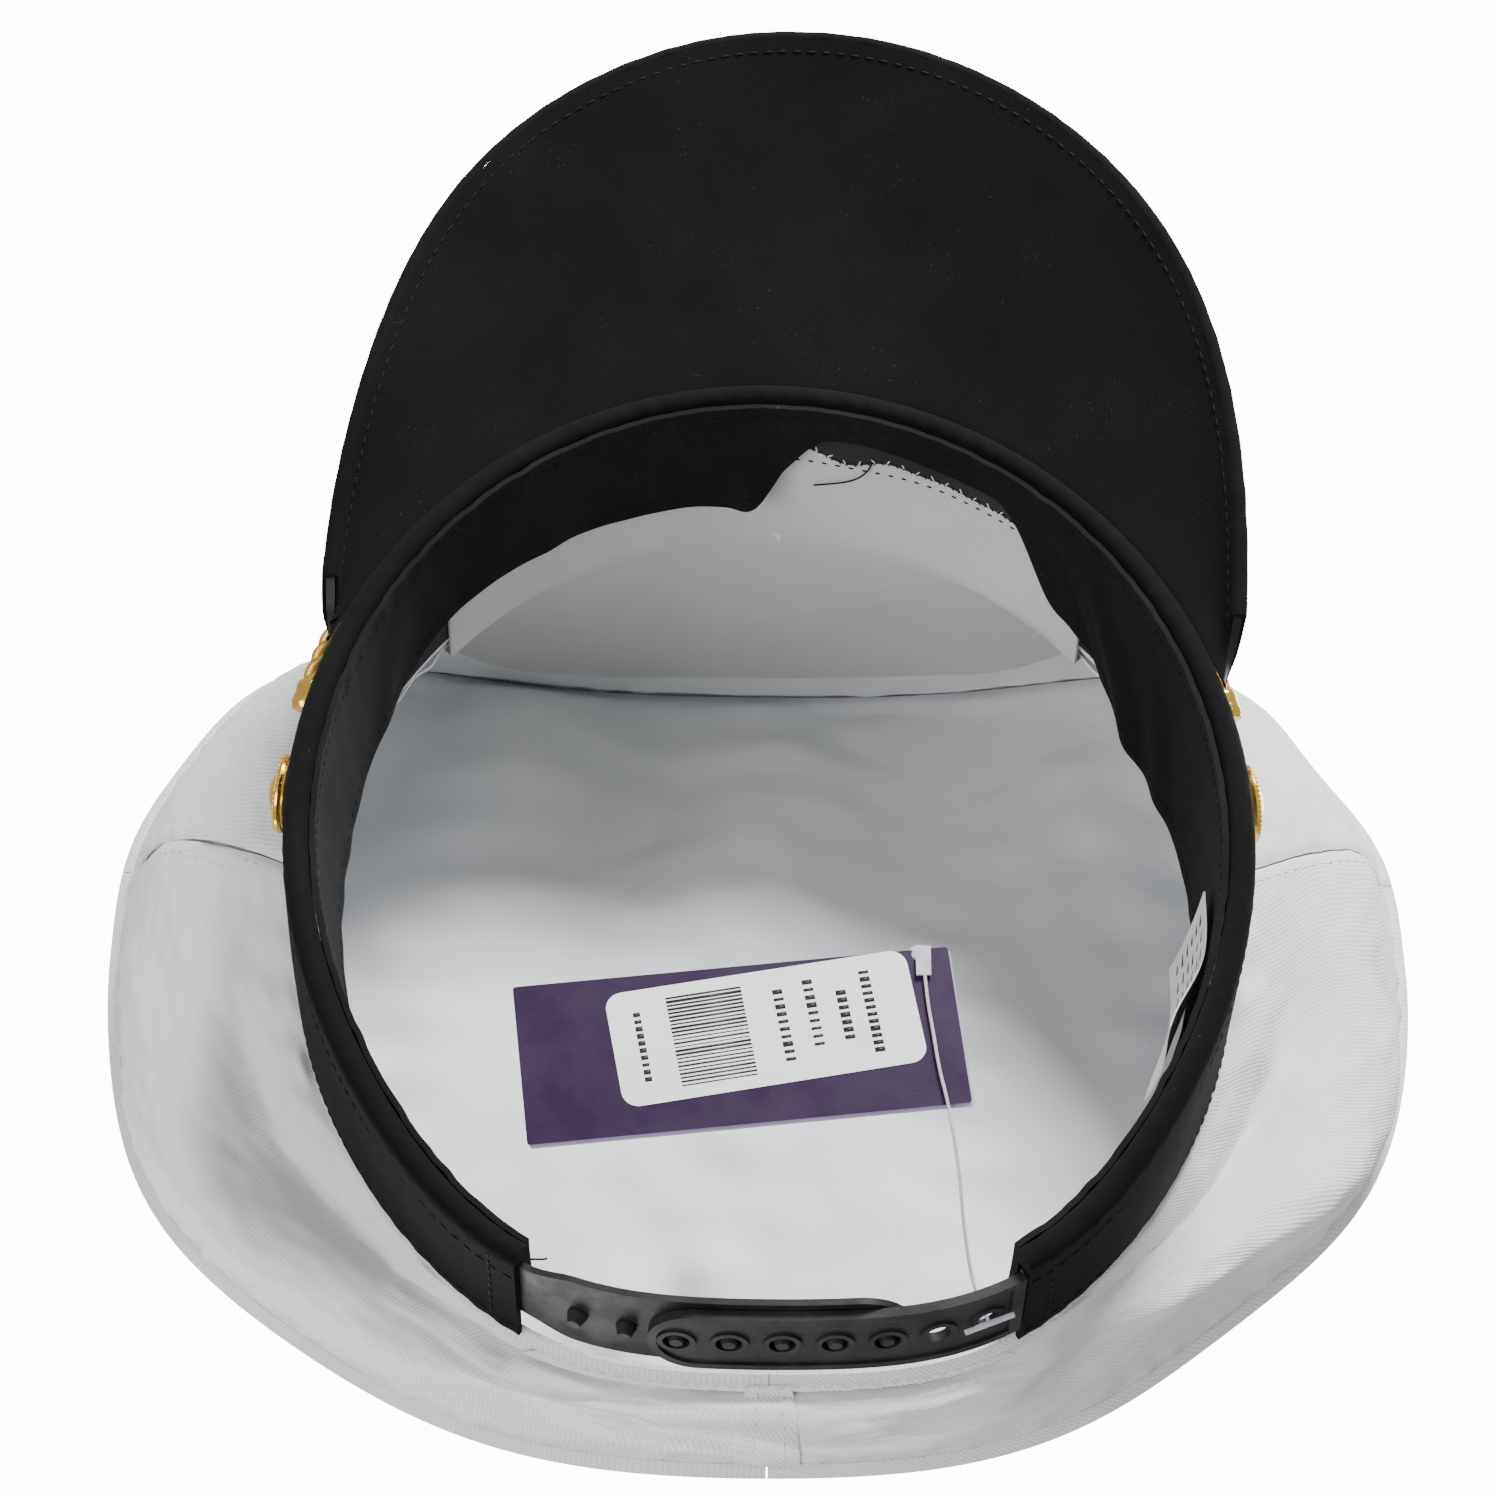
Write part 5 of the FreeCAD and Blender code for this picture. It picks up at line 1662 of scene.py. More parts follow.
    def rear_hem(self) -> None:
        """Turned hem inside the quarters' lower edge over the strap."""
        deg = np.linspace(153.5, 206.5, 120)
        v = np.linspace(0.0, 0.14, 12)
        wall = SHAPE.wall(deg[:, None], v[None])
        tuck = SHAPE.tucked(deg)
        face = np.concatenate([tuck[:, 2:], wall], 1)
        normal = grid_normals(face)
        loose = 0.2 * waves(deg, 51, 0.1, 0.3)[:, None] * np.linspace(0, 1, face.shape[1])[None]
        outer = face - normal * (SHAPE.cloth + 0.1 + np.abs(loose))[..., None]
        piece = cloth_shell("rear_hem_cloth", outer, 0.9)
        dress(piece, material_of(CROWN_CLOTH), "cap", "crown_cloth", "rear_hem")
        row = face[2:-2, 6] + normal[2:-2, 6] * 0.05
        Stitching(2.7, 2.0, 0.34, 0.26).sew("rear_hem_stitches", row, normal[2:-2, 6], "cap",
                                            "crown_cloth")

    def side_lining(self) -> None:
        """Lining of the crown's side, gathered a little at the band."""
        deg = np.linspace(-179.6, 179.6, 460)
        v = np.linspace(0.0, 0.90, 52)
        wall = SHAPE.wall(deg[:, None], v[None])
        normal = grid_normals(wall)
        back = ease(from_front(deg), 60, 130)[:, None]
        gather = np.exp(-v / 0.2)[None] * waves(deg[:, None], 61, 0.05, 0.2)
        sag = ((0.4 + 1.0 * back) * np.sin(math.pi * v)[None]
               * swell(deg[:, None] / 30, v[None] * 1.6, 62, 0.5, 1.5))
        depth = SHAPE.lining_gap + np.maximum(-0.5, 0.5 * gather + 0.9 * sag + 0.2)
        depth = depth - np.minimum(0.0, self.drape(deg[:, None], v[None])) * held(v)[None]
        piece = cloth_shell("side_lining_cloth", wall - normal * depth[..., None], 0.5)
        dress(piece, material_of(LINING_CLOTH), "cap", "lining_cloth", "side_lining")

    def disc_lining(self) -> None:
        """Lining under the crown's top, with soft puckers that fan out to the rear."""
        rho = np.linspace(0, self.lining_rho, 74)
        deg = np.linspace(0, 360, 460, endpoint=False)
        x, y = SHAPE.rim_plan(deg[:, None], rho[None])
        rear = ease(y, 35, 98) * (1 - 0.6 * ease(y, 98, 112))
        fan = np.degrees(np.arctan2(x - 6, 175 - y))
        folds = (3.4 * waves(fan, 71, 0.050, 0.085, 4)
                 + 0.7 * waves(fan + 0.12 * y, 72, 0.09, 0.16, 5))
        front = 1.1 * bump(y, -88, 9) * waves(x, 73, 0.006, 0.022)
        loose = (2.0 * swell(x / 70, y / 70, 74, 0.5, 1.4)
                 + 0.5 * swell(x / 24, y / 24, 75, 0.5, 1.5))
        edge = 1 - ease(rho, 0.90, 0.965)[None]
        sag = 2.2 * (1 - rho ** 2)[None]
        pucker = (folds * rear + front + loose) * edge
        drop = self.lining_drop + sag + np.maximum(-2.4 - sag, pucker)
        face = np.stack([x, y, SHAPE.crown_height(x, y) - drop], -1)[::-1]
        plan = np.concatenate([face[..., :2], face[:1, :, :2]])
        under = face - np.array([0.0, 0.0, 0.5])
        piece = cloth_shell("crown_lining_cloth", face[:, ::-1], 0.5, wrap=True, uv=plan[:, ::-1],
                            inner=under[:, ::-1])
        close_seams(piece)
        dress(piece, material_of(LINING_CLOTH), "cap", "lining_cloth", "crown_lining")

    def sheet_face(self, u: Array, share: Array) -> Array:
        """Inner sheet's outer face: u -1 to 1 across, share 0 at the band to 1 at its head.

        Args:
            u: -1 to 1 across it.
            share: 0 at the band to 1 at its head; below 0 inside the band.

        Returns:
            The grid.
        """
        shape = SHAPE
        inset = shape.leg + shape.slot + 0.1
        v = np.linspace(0, 1, 60)
        points = []
        for side, part in zip(u, share):
            narrowing = (self.sheet_head - self.sheet_foot) * np.clip(part, 0, 1)
            deg = side * (self.sheet_foot + narrowing)
            line = shape.wall(deg[:, None], v[None])
            reached = run_lengths(line)
            row = []
            for k, at in enumerate(part):
                if at < 0:
                    z = self.sheet_low + (1 + at) * (shape.height + 4 - self.sheet_low)
                    row.append(shape.ring(side * self.sheet_foot, inset, z))
                    continue
                want = at * reached[k, -1]
                point = np.array([np.interp(want, reached[k], line[k, :, c]) for c in range(3)])
                at_v = np.interp(want, reached[k], v)
                ahead = shape.wall(deg[k] + np.array([-0.5, 0.5]), np.full(2, at_v))
                up = line[k, min(59, int(at_v * 59) + 1)] - line[k, int(at_v * 58)]
                out = unit(np.cross(ahead[1] - ahead[0], up))
                row.append(point - out * 3.45)
            points.append(row)
        return np.array(points)

    def front_sheet(self) -> None:
        """The stiff sheet that holds the front panel up, straight at its head, corners rounded."""
        u = np.linspace(-1, 1, 61)
        head = 0.775 + 0.045 * u ** 2 - 0.025 * u - 0.24 * np.abs(u) ** 7
        share = np.concatenate([np.repeat([np.linspace(-1.0, -0.04, 16)], 61, 0),
                                0.1 + (head[:, None] - 0.1) * np.linspace(0, 1, 40)[None]], 1)
        face = self.sheet_face(u, share)
        bow = 0.5 * swell(u[:, None] * 1.2, share, 81, 0.4, 1.2) * ease(share, 0.0, 0.3)
        face = face - grid_normals(face) * np.maximum(0.0, bow)[..., None]
        piece = cloth_shell("front_sheet", face, 0.6)
        dress(piece, material_of(STIFF_SHEET), "cap", "stiffener_sheet", "front_stiffener")

    def front_sheet_line(self) -> tuple[Array, Array]:
        """The row of stitches on the stiff sheet: its points and its facing, towards the head.

        Returns:
            The points and their facing.
        """
        deg = np.linspace(-7.0, 46.0, 90)
        inward = inward_way(deg)
        z = 18.6 - 1.2 * ease(deg, 5, 40) + 0.2 * waves(deg, 83, 0.02, 0.06)
        return SHAPE.ring(deg, SHAPE.leg + SHAPE.slot + 0.74, z), inward


CROWN = Crown()


# ---- visor ----

@dataclass
class Visor:
    """Board between two cloth covers, with a turned edge and one row of topstitching."""

    across: int = 260
    outward: int = 60
    stitch_margin: float = 2.9

    def face(self, depth: float, under: bool) -> Array:
        """One cover's visible face, depth from the middle surface.

        Args:
            depth: Distance from the middle surface.
            under: Whether it is the lower cover.

        Returns:
            The grid.
        """
        u = np.linspace(-1, 1, self.across)[:, None]
        length = np.linalg.norm(SHAPE.visor(u, 0 * u + 1) - SHAPE.visor(u, 0 * u), axis=-1)
        inner = -0.8 / np.maximum(length, 4.0)
        v = inner + (1 - inner) * np.linspace(0, 1, self.outward)[None]
        middle = SHAPE.visor(u, v)
        down = grid_normals(middle)
        soft = 0.12 * swell(middle[..., 0] / 40, middle[..., 1] / 40, 91 + under, 0.5, 1.5)
        soft = soft * np.sin(math.pi * np.clip(v, 0, 1)) ** 0.5
        return middle + down * ((depth + soft) if under else -(depth + soft))[..., None]

    def build(self) -> None:
        """Makes the covers, the edge and the stitches, and dresses the board."""
        depth = SHAPE.visor_half_thickness
        under = self.face(depth, True)
        piece = cloth_shell("visor_under_cloth", under, 0.62, uv=under[..., :2])
        dress(piece, material_of(BLACK_CLOTH), "cap", "black_cloth", "visor_under_cover")
        over = self.face(depth, False)[::-1]
        piece = cloth_shell("visor_top_cloth", over, 0.62, uv=over[..., :2])
        dress(piece, material_of(BLACK_CLOTH), "cap", "black_cloth", "visor_top_cover")
        self.edge()
        self.topstitches()
        u, v = np.linspace(-1, 1, 160)[:, None], np.linspace(0.01, 0.995, 24)[None]
        middle = SHAPE.visor(u, v)
        piece = cloth_shell("visor_stiff_board", (middle - grid_normals(middle) * 0.85)[::-1], 1.7)
        dress(piece, material_of(BOARD_SHEET), "cap", "board", "visor_board")

    def edge(self) -> None:
        """Cloth turned round the visor's free edge."""
        u = np.linspace(-1, 1, 420)
        rows = SHAPE.visor(u[:, None], np.array([0.97, 0.985, 1.0])[None])
        down = grid_normals(rows)[:, -1]
        centre = rows[:, -1]
        along = unit(np.gradient(centre, axis=0))
        out = unit(np.cross(down, along))
        out = out * np.sign(np.sum(out * (rows[:, -1] - rows[:, 0]), -1, keepdims=True))
        radius = SHAPE.visor_half_thickness + 0.03 * waves(u * 100, 95, 0.1, 0.4)
        sections = []
        for a in np.radians(np.linspace(0, 180, 15)):
            sections.append(centre + out * (0.03 + math.sin(a) * radius[:, None])
                            + down * (math.cos(a) * radius)[:, None])
        sections += [centre - down * 0.6 + out * 0.03, centre + down * 0.6 + out * 0.03]
        piece = Band.closed_tube("visor_edge_cloth", np.stack(sections))
        dress(piece, material_of(BLACK_CLOTH), "cap", "black_cloth", "visor_edge")

    def topstitches(self) -> None:
        """Topstitching just inside the edge, above and below."""
        u = np.linspace(-0.985, 0.985, 700)
        root, tip = SHAPE.visor(u, 0 * u), SHAPE.visor(u, 0 * u + 1)
        v = 1 - self.stitch_margin / np.maximum(np.linalg.norm(tip - root, axis=-1), 6)
        rows = SHAPE.visor(u[:, None], v[:, None] + np.array([-0.01, 0, 0.01])[None])
        down = grid_normals(rows)[:, 1]
        thread = Stitching(2.9, 2.1, 0.45, 0.3, finish=BLACK_THREAD)
        for name, side in (("under", 1), ("top", -1)):
            path = rows[:, 1] + down * side * (SHAPE.visor_half_thickness + 0.04)
            thread.sew("visor_%s_stitches" % name, path, down * side, "cap", "black_cloth")


# ---- badge ----

@dataclass
class Badge:
    """Felt patch with a bound edge, a gilt anchor and a rope ring, on the front panel."""

    radius: float = 23.0
    share: float = 0.5              # how far up the panel its centre is
    ring_radius: float = 16.5
    ring_height: float = 1.2

    def spot(self, right: Array, up: Array) -> Array:
        """Points on the front panel from the badge's centre.

        Args:
            right: Distance to the wearer's left of the centre.
            up: Distance over the centre, along the cloth.

        Returns:
            The points.
        """
        right, up = np.broadcast_arrays(np.asarray(right, float), np.asarray(up, float))
        deg = np.degrees(np.arcsin(np.clip(right / 107.0, -1, 1))).ravel()
        line = SHAPE.wall(deg[:, None], np.linspace(0, 1, 200)[None])
        reached = run_lengths(line)
        want = self.share * reached[:, -1] + up.ravel()
        points = [[np.interp(w, r, ln[:, c]) for c in range(3)]
                  for w, r, ln in zip(want, reached, line)]
        return np.array(points).reshape(*right.shape, 3)

    def build(self) -> None:
        """Makes the patch, its binding and the rope, and dresses the anchor."""
        share = np.linspace(0.0, 1.0, 22)
        turn = np.radians(np.linspace(0, 360, 160, endpoint=False))[:, None]
        right, up = self.radius * np.cos(turn) * share, self.radius * 1.12 * np.sin(turn) * share
        base = self.spot(right, up)
        middle = unit(np.cross(self.spot(2, 0) - self.spot(-2, 0),
                               self.spot(0, 2) - self.spot(0, -2)))
        rise = 1.1 - 0.55 * share ** 8
        nap = 0.05 * swell(right / 6, up / 6, 101, 0.5, 1.4)
        face = base + middle * (rise[None] + nap)[..., None]
        back = base + middle * 0.02
        piece = cloth_shell("badge_felt", face[::-1, ::-1], 1.0, wrap=True,
                            inner=back[::-1, ::-1], uv=np.stack([right, up], -1)[::-1, ::-1])
        close_seams(piece)
        dress(piece, material_of(FELT_CLOTH), "cap", "felt", "badge_patch")
        edge = face[:, -1] + middle * 0.1
        length = np.linalg.norm(np.diff(np.concatenate([edge, edge[:1]]), axis=0), axis=-1).sum()
        binding = MARKS.grow("badge_binding", SPACE.place(edge), SPACE.turn(middle),
                             BLACK_THREAD, True, Pitch=length / round(length / 0.55) * MM,
                             Length=0.6 * MM, Width=2.4 * MM, Height=1.3 * MM)
        dress(binding, material_of(BLACK_THREAD), "cap", "felt")
        centre, up_way = self.spot(0, 0), unit(self.spot(0, 8) - self.spot(0, -8))
        normal = unit(np.cross(np.array([-1.0, 0, 0]), up_way))
        normal = normal * (-1 if normal[1] > 0 else 1)
        turn = turn.ravel()
        across = unit(np.cross(up_way, normal))
        ring = centre + normal * (1.25 + self.ring_height) + self.ring_radius * (
            np.cos(turn)[:, None] * across + np.sin(turn)[:, None] * up_way)
        pitch = 2 * math.pi * self.ring_radius / 16
        rope = ROPE.grow("badge_rope_ring", SPACE.place(ring), SPACE.turn(normal), GILT_YARN, True,
                         Strands=3, Strand_Radius=0.62 * MM, Lay_Radius=0.62 * MM, Pitch=pitch * MM,
                         Step=0.3 * MM, Caps=False)
        dress(rope, material_of(GILT_YARN), "cap", "gilt_cord", "badge_rope")
        finish_node("badge_anchor", GILT)


# ---- chin cord and buttons ----

@dataclass
class ChinCord:
    """Twisted gilt cord over the visor, with a flat tab and a keeper at each end."""

    radius: float = 2.4
    front_z: float = 7.3
    button_z: float = 20.0
    button_at: float = 81.9
    end: float = 73.5
    tab_thickness: float = 1.5
    lay: float = 11.0               # length of one turn

    def centre(self, deg: Array) -> Array:
        """The cord's centre line."""
        rise = (self.button_z - self.front_z) * (np.abs(deg) / self.button_at) ** 6
        return SHAPE.ring(deg, -self.radius - 0.6, self.front_z + rise)

    def build(self) -> None:
        """Makes the cord, and a tab and a keeper at each of its ends."""
        path = self.centre(np.linspace(-self.end, self.end, 300))
        rope = ROPE.grow("chin_cord_rope", SPACE.place(path), (0, 0, 1), GILT_YARN,
                         Strands=3, Strand_Radius=1.16 * MM, Lay_Radius=1.2 * MM,
                         Pitch=self.lay * MM, Step=0.45 * MM)
        dress(rope, material_of(GILT_YARN), "chin_cord", "gilt_cord", "chin_cord")
        for name, side in (("left", 1), ("right", -1)):
            self.tab(name, side)
            self.keeper(name, side)

    def tab(self, name: str, side: int) -> None:
        """Flat end with a hole for the button's shank.

        Args:
            name: The piece's name.
            side: 1 on the wearer's left, -1 on the right.
        """
        deg = side * self.button_at
        normal = np.append(SHAPE.outward(np.array(deg)), 0.0)
        inward = SHAPE.ring(deg, 0.0, self.button_z)
        reach = self.centre(np.array(side * self.end)) - inward
        length = float(np.linalg.norm(reach))
        ahead = unit(reach - normal * float(reach @ normal))
        across = np.cross(normal, ahead)
        turn = np.radians(np.linspace(0, 360, 96, endpoint=False))
        c, s = np.cos(turn), np.sin(turn)
        straight = np.minimum(length / np.maximum(c, 1e-6), 2.7 / np.maximum(np.abs(s), 1e-6))
        outer = np.where(c > 0, np.maximum(4.6, straight), 4.6)
        hole = 1.55
        columns = []
        for share, height in ((0.0, 0.2), (0.04, 0.02), (0.5, 0.0), (0.9, 0.0), (0.97, 0.05),
                              (1.0, 0.3)):
            r = hole + (outer - hole) * share
            columns.append((r, 0.5 + self.tab_thickness - height))
        for share, height in ((1.0, 0.3), (0.97, 0.05), (0.5, 0.0), (0.04, 0.02), (0.0, 0.2)):
            columns.append((hole + (outer - hole) * share, 0.5 + height))
        sections = np.stack([inward + (r * c)[:, None] * ahead + (r * s)[:, None] * across
                             + normal * h for r, h in columns])
        sections = np.concatenate([sections, sections[:, :1]], 1)[::-1]
        piece = Band.closed_tube("chin_cord_%s_tab" % name, sections)
        self.drop_ends(piece)
        dress(piece, material_of(GILT_YARN), "chin_cord", "gilt_cord")

    @staticmethod
    def drop_ends(piece: bpy.types.Object) -> None:
        """Takes off a ring's two end faces, where its ends meet, and joins them.

        Args:
            piece: The piece.
        """
        work = bmesh.new()
        work.from_mesh(piece.data)
        bmesh.ops.remove_doubles(work, verts=work.verts, dist=1e-7)
        ends = [f for f in work.faces if len(f.verts) > 4]
        bmesh.ops.delete(work, geom=ends, context="FACES_ONLY")
        bmesh.ops.recalc_face_normals(work, faces=work.faces)
        work.to_mesh(piece.data)
        work.free()

    def keeper(self, name: str, side: int) -> None:
        """Gilt barrel over the cord's end.

        Args:
            name: The piece's name.
            side: 1 on the wearer's left, -1 on the right.
        """
        deg = np.linspace(side * self.end, side * (self.end - 3.2), 9)
        line = self.centre(deg)
        along = unit(np.gradient(line, axis=0))
        out = np.concatenate([SHAPE.outward(deg), np.zeros((9, 1))], 1)
        up = unit(np.cross(along, out))
        out = np.cross(up, along)
        bulge = np.array([2.0, 2.62, 2.78, 2.66, 2.62, 2.66, 2.78, 2.62, 2.0])
        turn = np.radians(np.linspace(0, 360, 28, endpoint=False))
        sections = np.stack([line + bulge[:, None] * (math.cos(a) * out + math.sin(a) * up)
                             for a in turn])
        piece = Band.closed_tube("chin_cord_%s_keeper" % name, sections)
        dress(piece, material_of(GILT), "chin_cord", "gilt")


@dataclass
class SideButtons:
    """Gilt buttons: their frame parts get their metal, and a beaded ring goes round each face."""

    ring_radius: float = 6.95
    ring_height: float = 3.95       # above the band's face
    bead: float = 0.62

    def build(self) -> None:
        """Dresses both buttons."""
        for side in ("left", "right"):
            for part, finish in (("shell", GILT), ("back", GILT), ("washer", SPRING_STEEL)):
                finish_node("%s_button_%s" % (side, part), finish)
            joint = next(j for j in frame["joints"] if j["name"] == side + "_button_turn")
            centre, axis = np.array(joint["pos_m"]), unit(np.array(joint["axis"], float))
            across = unit(np.cross(axis, np.array([0.0, 0.0, 1.0])))
            up = np.cross(across, axis)
            turn = np.linspace(0, 2 * math.pi, 120, endpoint=False)[:, None]
            ring = centre + axis * self.ring_height * MM + self.ring_radius * MM * (
                np.cos(turn) * across + np.sin(turn) * up)
            pitch = 2 * math.pi * self.ring_radius / 44
            beads = MARKS.grow("%s_button_beads" % side, ring, axis, GILT, True, Pitch=pitch * MM,
                               Length=0.95 * MM, Width=self.bead * MM, Height=self.bead * MM,
                               Slant=0.0)
            dress(beads, material_of(GILT), side + "_button", "gilt")


# ---- strap, label and threads ----

@dataclass
class SnapStrap:
    """The plastic strap keeps its frame shape; its finish and the threads at its ends are here."""

    thread_radius: float = 0.16

    def build(self) -> None:
        """Dresses the strap and adds loose thread ends beside it."""
        for name in ("hole_strap", "hole_strap_anchor", "peg_strap"):
            finish_node(name, SNAP_PLASTIC)
        self.thread("loose_thread_rear", [(207.6, 6.0, 21.0), (206.0, 7.2, 23.5),
                                          (203.8, 8.6, 23.2), (202.4, 9.4, 24.6),
                                          (201.2, 10.4, 24.0)])
        self.thread("loose_thread_hem", [(208.9, 2.2, 2.2), (207.7, 2.8, 0.6), (206.9, 3.2, 1.2),
                                         (206.4, 3.6, 0.5)])
        self.front_thread()
        for name, deg in (("left", SHAPE.band_end - 3.4), ("right", 360 - SHAPE.band_end + 3.4)):
            z = np.linspace(3.2, 20.5, 60)
            path = SHAPE.ring(np.full_like(z, deg), -0.04, z)
            out = np.append(SHAPE.outward(np.array(deg)), 0.0)
            row = Stitching(2.4, 1.8, 0.42, 0.3, finish=BLACK_THREAD)
            row.sew("strap_%s_stitches" % name, path, np.broadcast_to(out, path.shape),
                    "cap", "black_cloth")

    def thread(self, name: str, spots: list[tuple[float, float, float]]) -> None:
        """A loose end of black thread through places given as angle, inset and height."""
        points = [SPACE.place(SHAPE.ring(np.array(d), i, z)) for d, i, z in spots]
        self.lay_thread(name, points)

    def lay_thread(self, name: str, points: list[Array]) -> None:
        """A loose end of two-ply thread along points in the frame.

        Args:
            name: The piece's name.
            points: Places in metres, in the frame.
        """
        line = smooth_path(np.array(points))
        ply = self.thread_radius * 0.6 * MM
        made = ROPE.grow(name, line, (0, 0, 1), BLACK_THREAD, Strands=2, Strand_Radius=ply,
                         Lay_Radius=ply, Pitch=1.3 * MM, Step=0.12 * MM)
        dress(made, material_of(BLACK_THREAD), "cap", "black_cloth")

    def front_thread(self) -> None:
        """A thread end that hangs from the overcast edge over the stiff sheet."""
        inset = SHAPE.leg + SHAPE.slot + 1.15
        places = ((14.8, 14.6), (14.6, 16.6), (13.9, 19.2), (12.2, 22.0), (9.4, 24.0), (6.8, 24.8))
        self.lay_thread("loose_thread_front",
                        [SPACE.place(SHAPE.ring(np.array(d), inset + 0.3 * (k % 2), z))
                         for k, (d, z) in enumerate(places)])


@dataclass
class CareLabel:
    """Woven label that hangs from the lining over the sweatband, with rows of plain marks."""

    low: float = 96.0
    high: float = 114.0
    bottom: float = 13.0
    top: float = 39.0

    def face(self, deg: Array, z: Array) -> Array:
        """The label's outer face, curled at its free corner.

        Args:
            deg: Degrees round the band from the front.
            z: Height over the band's lower edge.

        Returns:
            The points.
        """
        curl = 1.6 * ease(-z, -30, -self.bottom) * ease(deg, 104, self.high)
        band = 2 * SHAPE.roll + 0.12 + 3.4 * (z / SHAPE.sweat_height) ** 2 + BAND.sweat_thickness
        return SHAPE.ring(deg, band + 1.1 + 0.5 * np.sin(np.radians(20 * deg)) + curl, z)

    def build(self) -> None:
        """Makes the label and its marks."""
        deg = np.linspace(self.low, self.high, 60)[:, None]
        z = np.linspace(self.bottom, self.top, 40)[None]
        deg, z = np.broadcast_arrays(deg, z)
        piece = cloth_shell("care_label_cloth", self.face(deg, z), 0.3)
        dress(piece, material_of(LABEL_CLOTH), "cap", "label_cloth", "care_label")
        for k, height in enumerate((17.0, 20.5, 24.0, 27.5, 31.0, 34.5)):
            line = np.linspace(self.low + 2, self.high - 2.5 - (k % 3) * 2, 50)
            inward = inward_way(line)
            path = self.face(line, height + 0 * line) + inward * 0.33
            marks = MARKS.grow("care_label_marks_%d" % (k + 1), SPACE.place(path),
                               SPACE.turn(inward), PRINT_INK, Pitch=3.6 * MM, Length=3.0 * MM,
                               Width=1.1 * MM, Height=0.06 * MM, Length_Spread=0.6, Square=True,
                               Seed=k + 3)
            dress(marks, material_of(PRINT_INK), "cap", "label_cloth")


# ---- swing tag ----

@dataclass
class SwingTag:
    """Folded card on a nylon filament, with a sticker of plain bars and dashes."""

    filament_radius: float = 0.0003
    filament_length: float = 0.0626
    # The filament's route in metres: out of the strap, down to the table and under the tag.
    route: tuple[tuple[float, float, float], ...] = (
        (0.03657, 0.12651, 0.01088), (0.0346, 0.1215, 0.0112), (0.0334, 0.1157, 0.0098),
        (0.0325, 0.1100, 0.0066), (0.0319, 0.1040, 0.0032), (0.0310, 0.0978, 0.0010),
        (0.0300, 0.0912, 0.00036), (0.0286, 0.0846, 0.00034), (0.0278, 0.0780, 0.00034),
        (0.0269, 0.0718, 0.00034), (0.0266, 0.0670, 0.00034))
    sticker_turn: float = -10.5     # degrees
    ink_thickness: float = 0.00004

    def build(self) -> None:
        """Makes the filament and the print, and dresses the card's parts."""
        for name, finish in (("swing_tag", TAG_CARD), ("tag_back_leaf", TAG_INSIDE),
                             ("tag_sticker", STICKER_PAPER), ("tag_paddle", CLEAR_NYLON),
                             ("tag_tbar", CLEAR_NYLON)):
            finish_node(name, finish)
        marks = self.print_marks()
        self.filament()

    def filament(self) -> None:
        """The nylon filament along its route.
        """
        curve = bpy.data.curves.new("nylon_filament", "CURVE")
        curve.dimensions = "3D"
        curve.bevel_depth = self.filament_radius
        curve.bevel_resolution = 4
        curve.use_fill_caps = True
        spline = curve.splines.new("NURBS")
        spline.points.add(len(self.route) - 1)
        for at, place in zip(spline.points, self.route):
            at.co = (*place, 1.0)
        spline.order_u = 3
        spline.use_endpoint_u = True
        spline.resolution_u = 12
        piece = bpy.data.objects.new("nylon_filament", curve)
        bpy.context.scene.collection.objects.link(piece)
        dress(piece, material_of(CLEAR_NYLON), "tag_line", "clear_nylon", "tag_filament")

    def print_marks(self) -> list[bpy.types.Object]:
        """Bars and rows of dashes on the sticker's lower face.

        Returns:
            The printed pieces.
        """
        low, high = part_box("tag_sticker")
        centre = np.array((low + high) / 2)
        turn = math.radians(self.sticker_turn)
        along = np.array([math.cos(turn), math.sin(turn), 0.0])
        across = np.array([-math.sin(turn), math.cos(turn), 0.0])
        level = low.z - self.ink_thickness * 0.35
        down = np.array([0.0, 0.0, -1.0])

        def row(name: str, x: float, ends: tuple[float, float], seed: int, spread: float,
                **sizes: float) -> bpy.types.Object:
            """One row of marks across the sticker, its sizes in millimetres."""
            start, stop = (centre + (along * x + across * y) * MM for y in ends)
            path = np.linspace(start, stop, 30)
            path[:, 2] = level
            metres = {label: size * MM for label, size in sizes.items()}
            made = MARKS.grow(name, path, down, PRINT_INK, Height=self.ink_thickness, Square=True,
                              Seed=seed, **metres, Length_Spread=spread)
            return dress(made, material_of(PRINT_INK), "tag", "sticker_paper")

        made = [row("sticker_bars", -9.5, (-8.4, 8.4), 5, 0.7, Pitch=0.72, Length=0.52,
                    Width=13.2)]
        for k, (x, y0, y1, size) in enumerate(((-21.5, -6.2, 6.2, 0.9), (3.2, -6.4, 6.6, 1.3),
                                               (8.6, -7.4, 4.6, 1.3), (14.0, -4.4, 4.2, 1.3),
                                               (18.6, -7.6, 7.4, 1.3))):
            made.append(row("sticker_dashes_%d" % (k + 1), x, (y0, y1), k + 11, 0.5, Pitch=1.35,
                            Length=1.0, Width=size * 1.35))
        return made


# ---- studio ----

@dataclass(frozen=True)
class Viewpoint:
    """Where the camera stands, from the head opening, in the band's millimetres and degrees."""

    distance: float = 703.29
    elevation: float = 53.566       # how far it is below the band's lower edge plane
    azimuth: float = 2.1146         # how far it is round from straight behind
    roll: float = 2.3147
    aside: tuple[float, float] = (0.2975, -0.7283)      # how far the aim is off the centre
    lens: float = 93.24


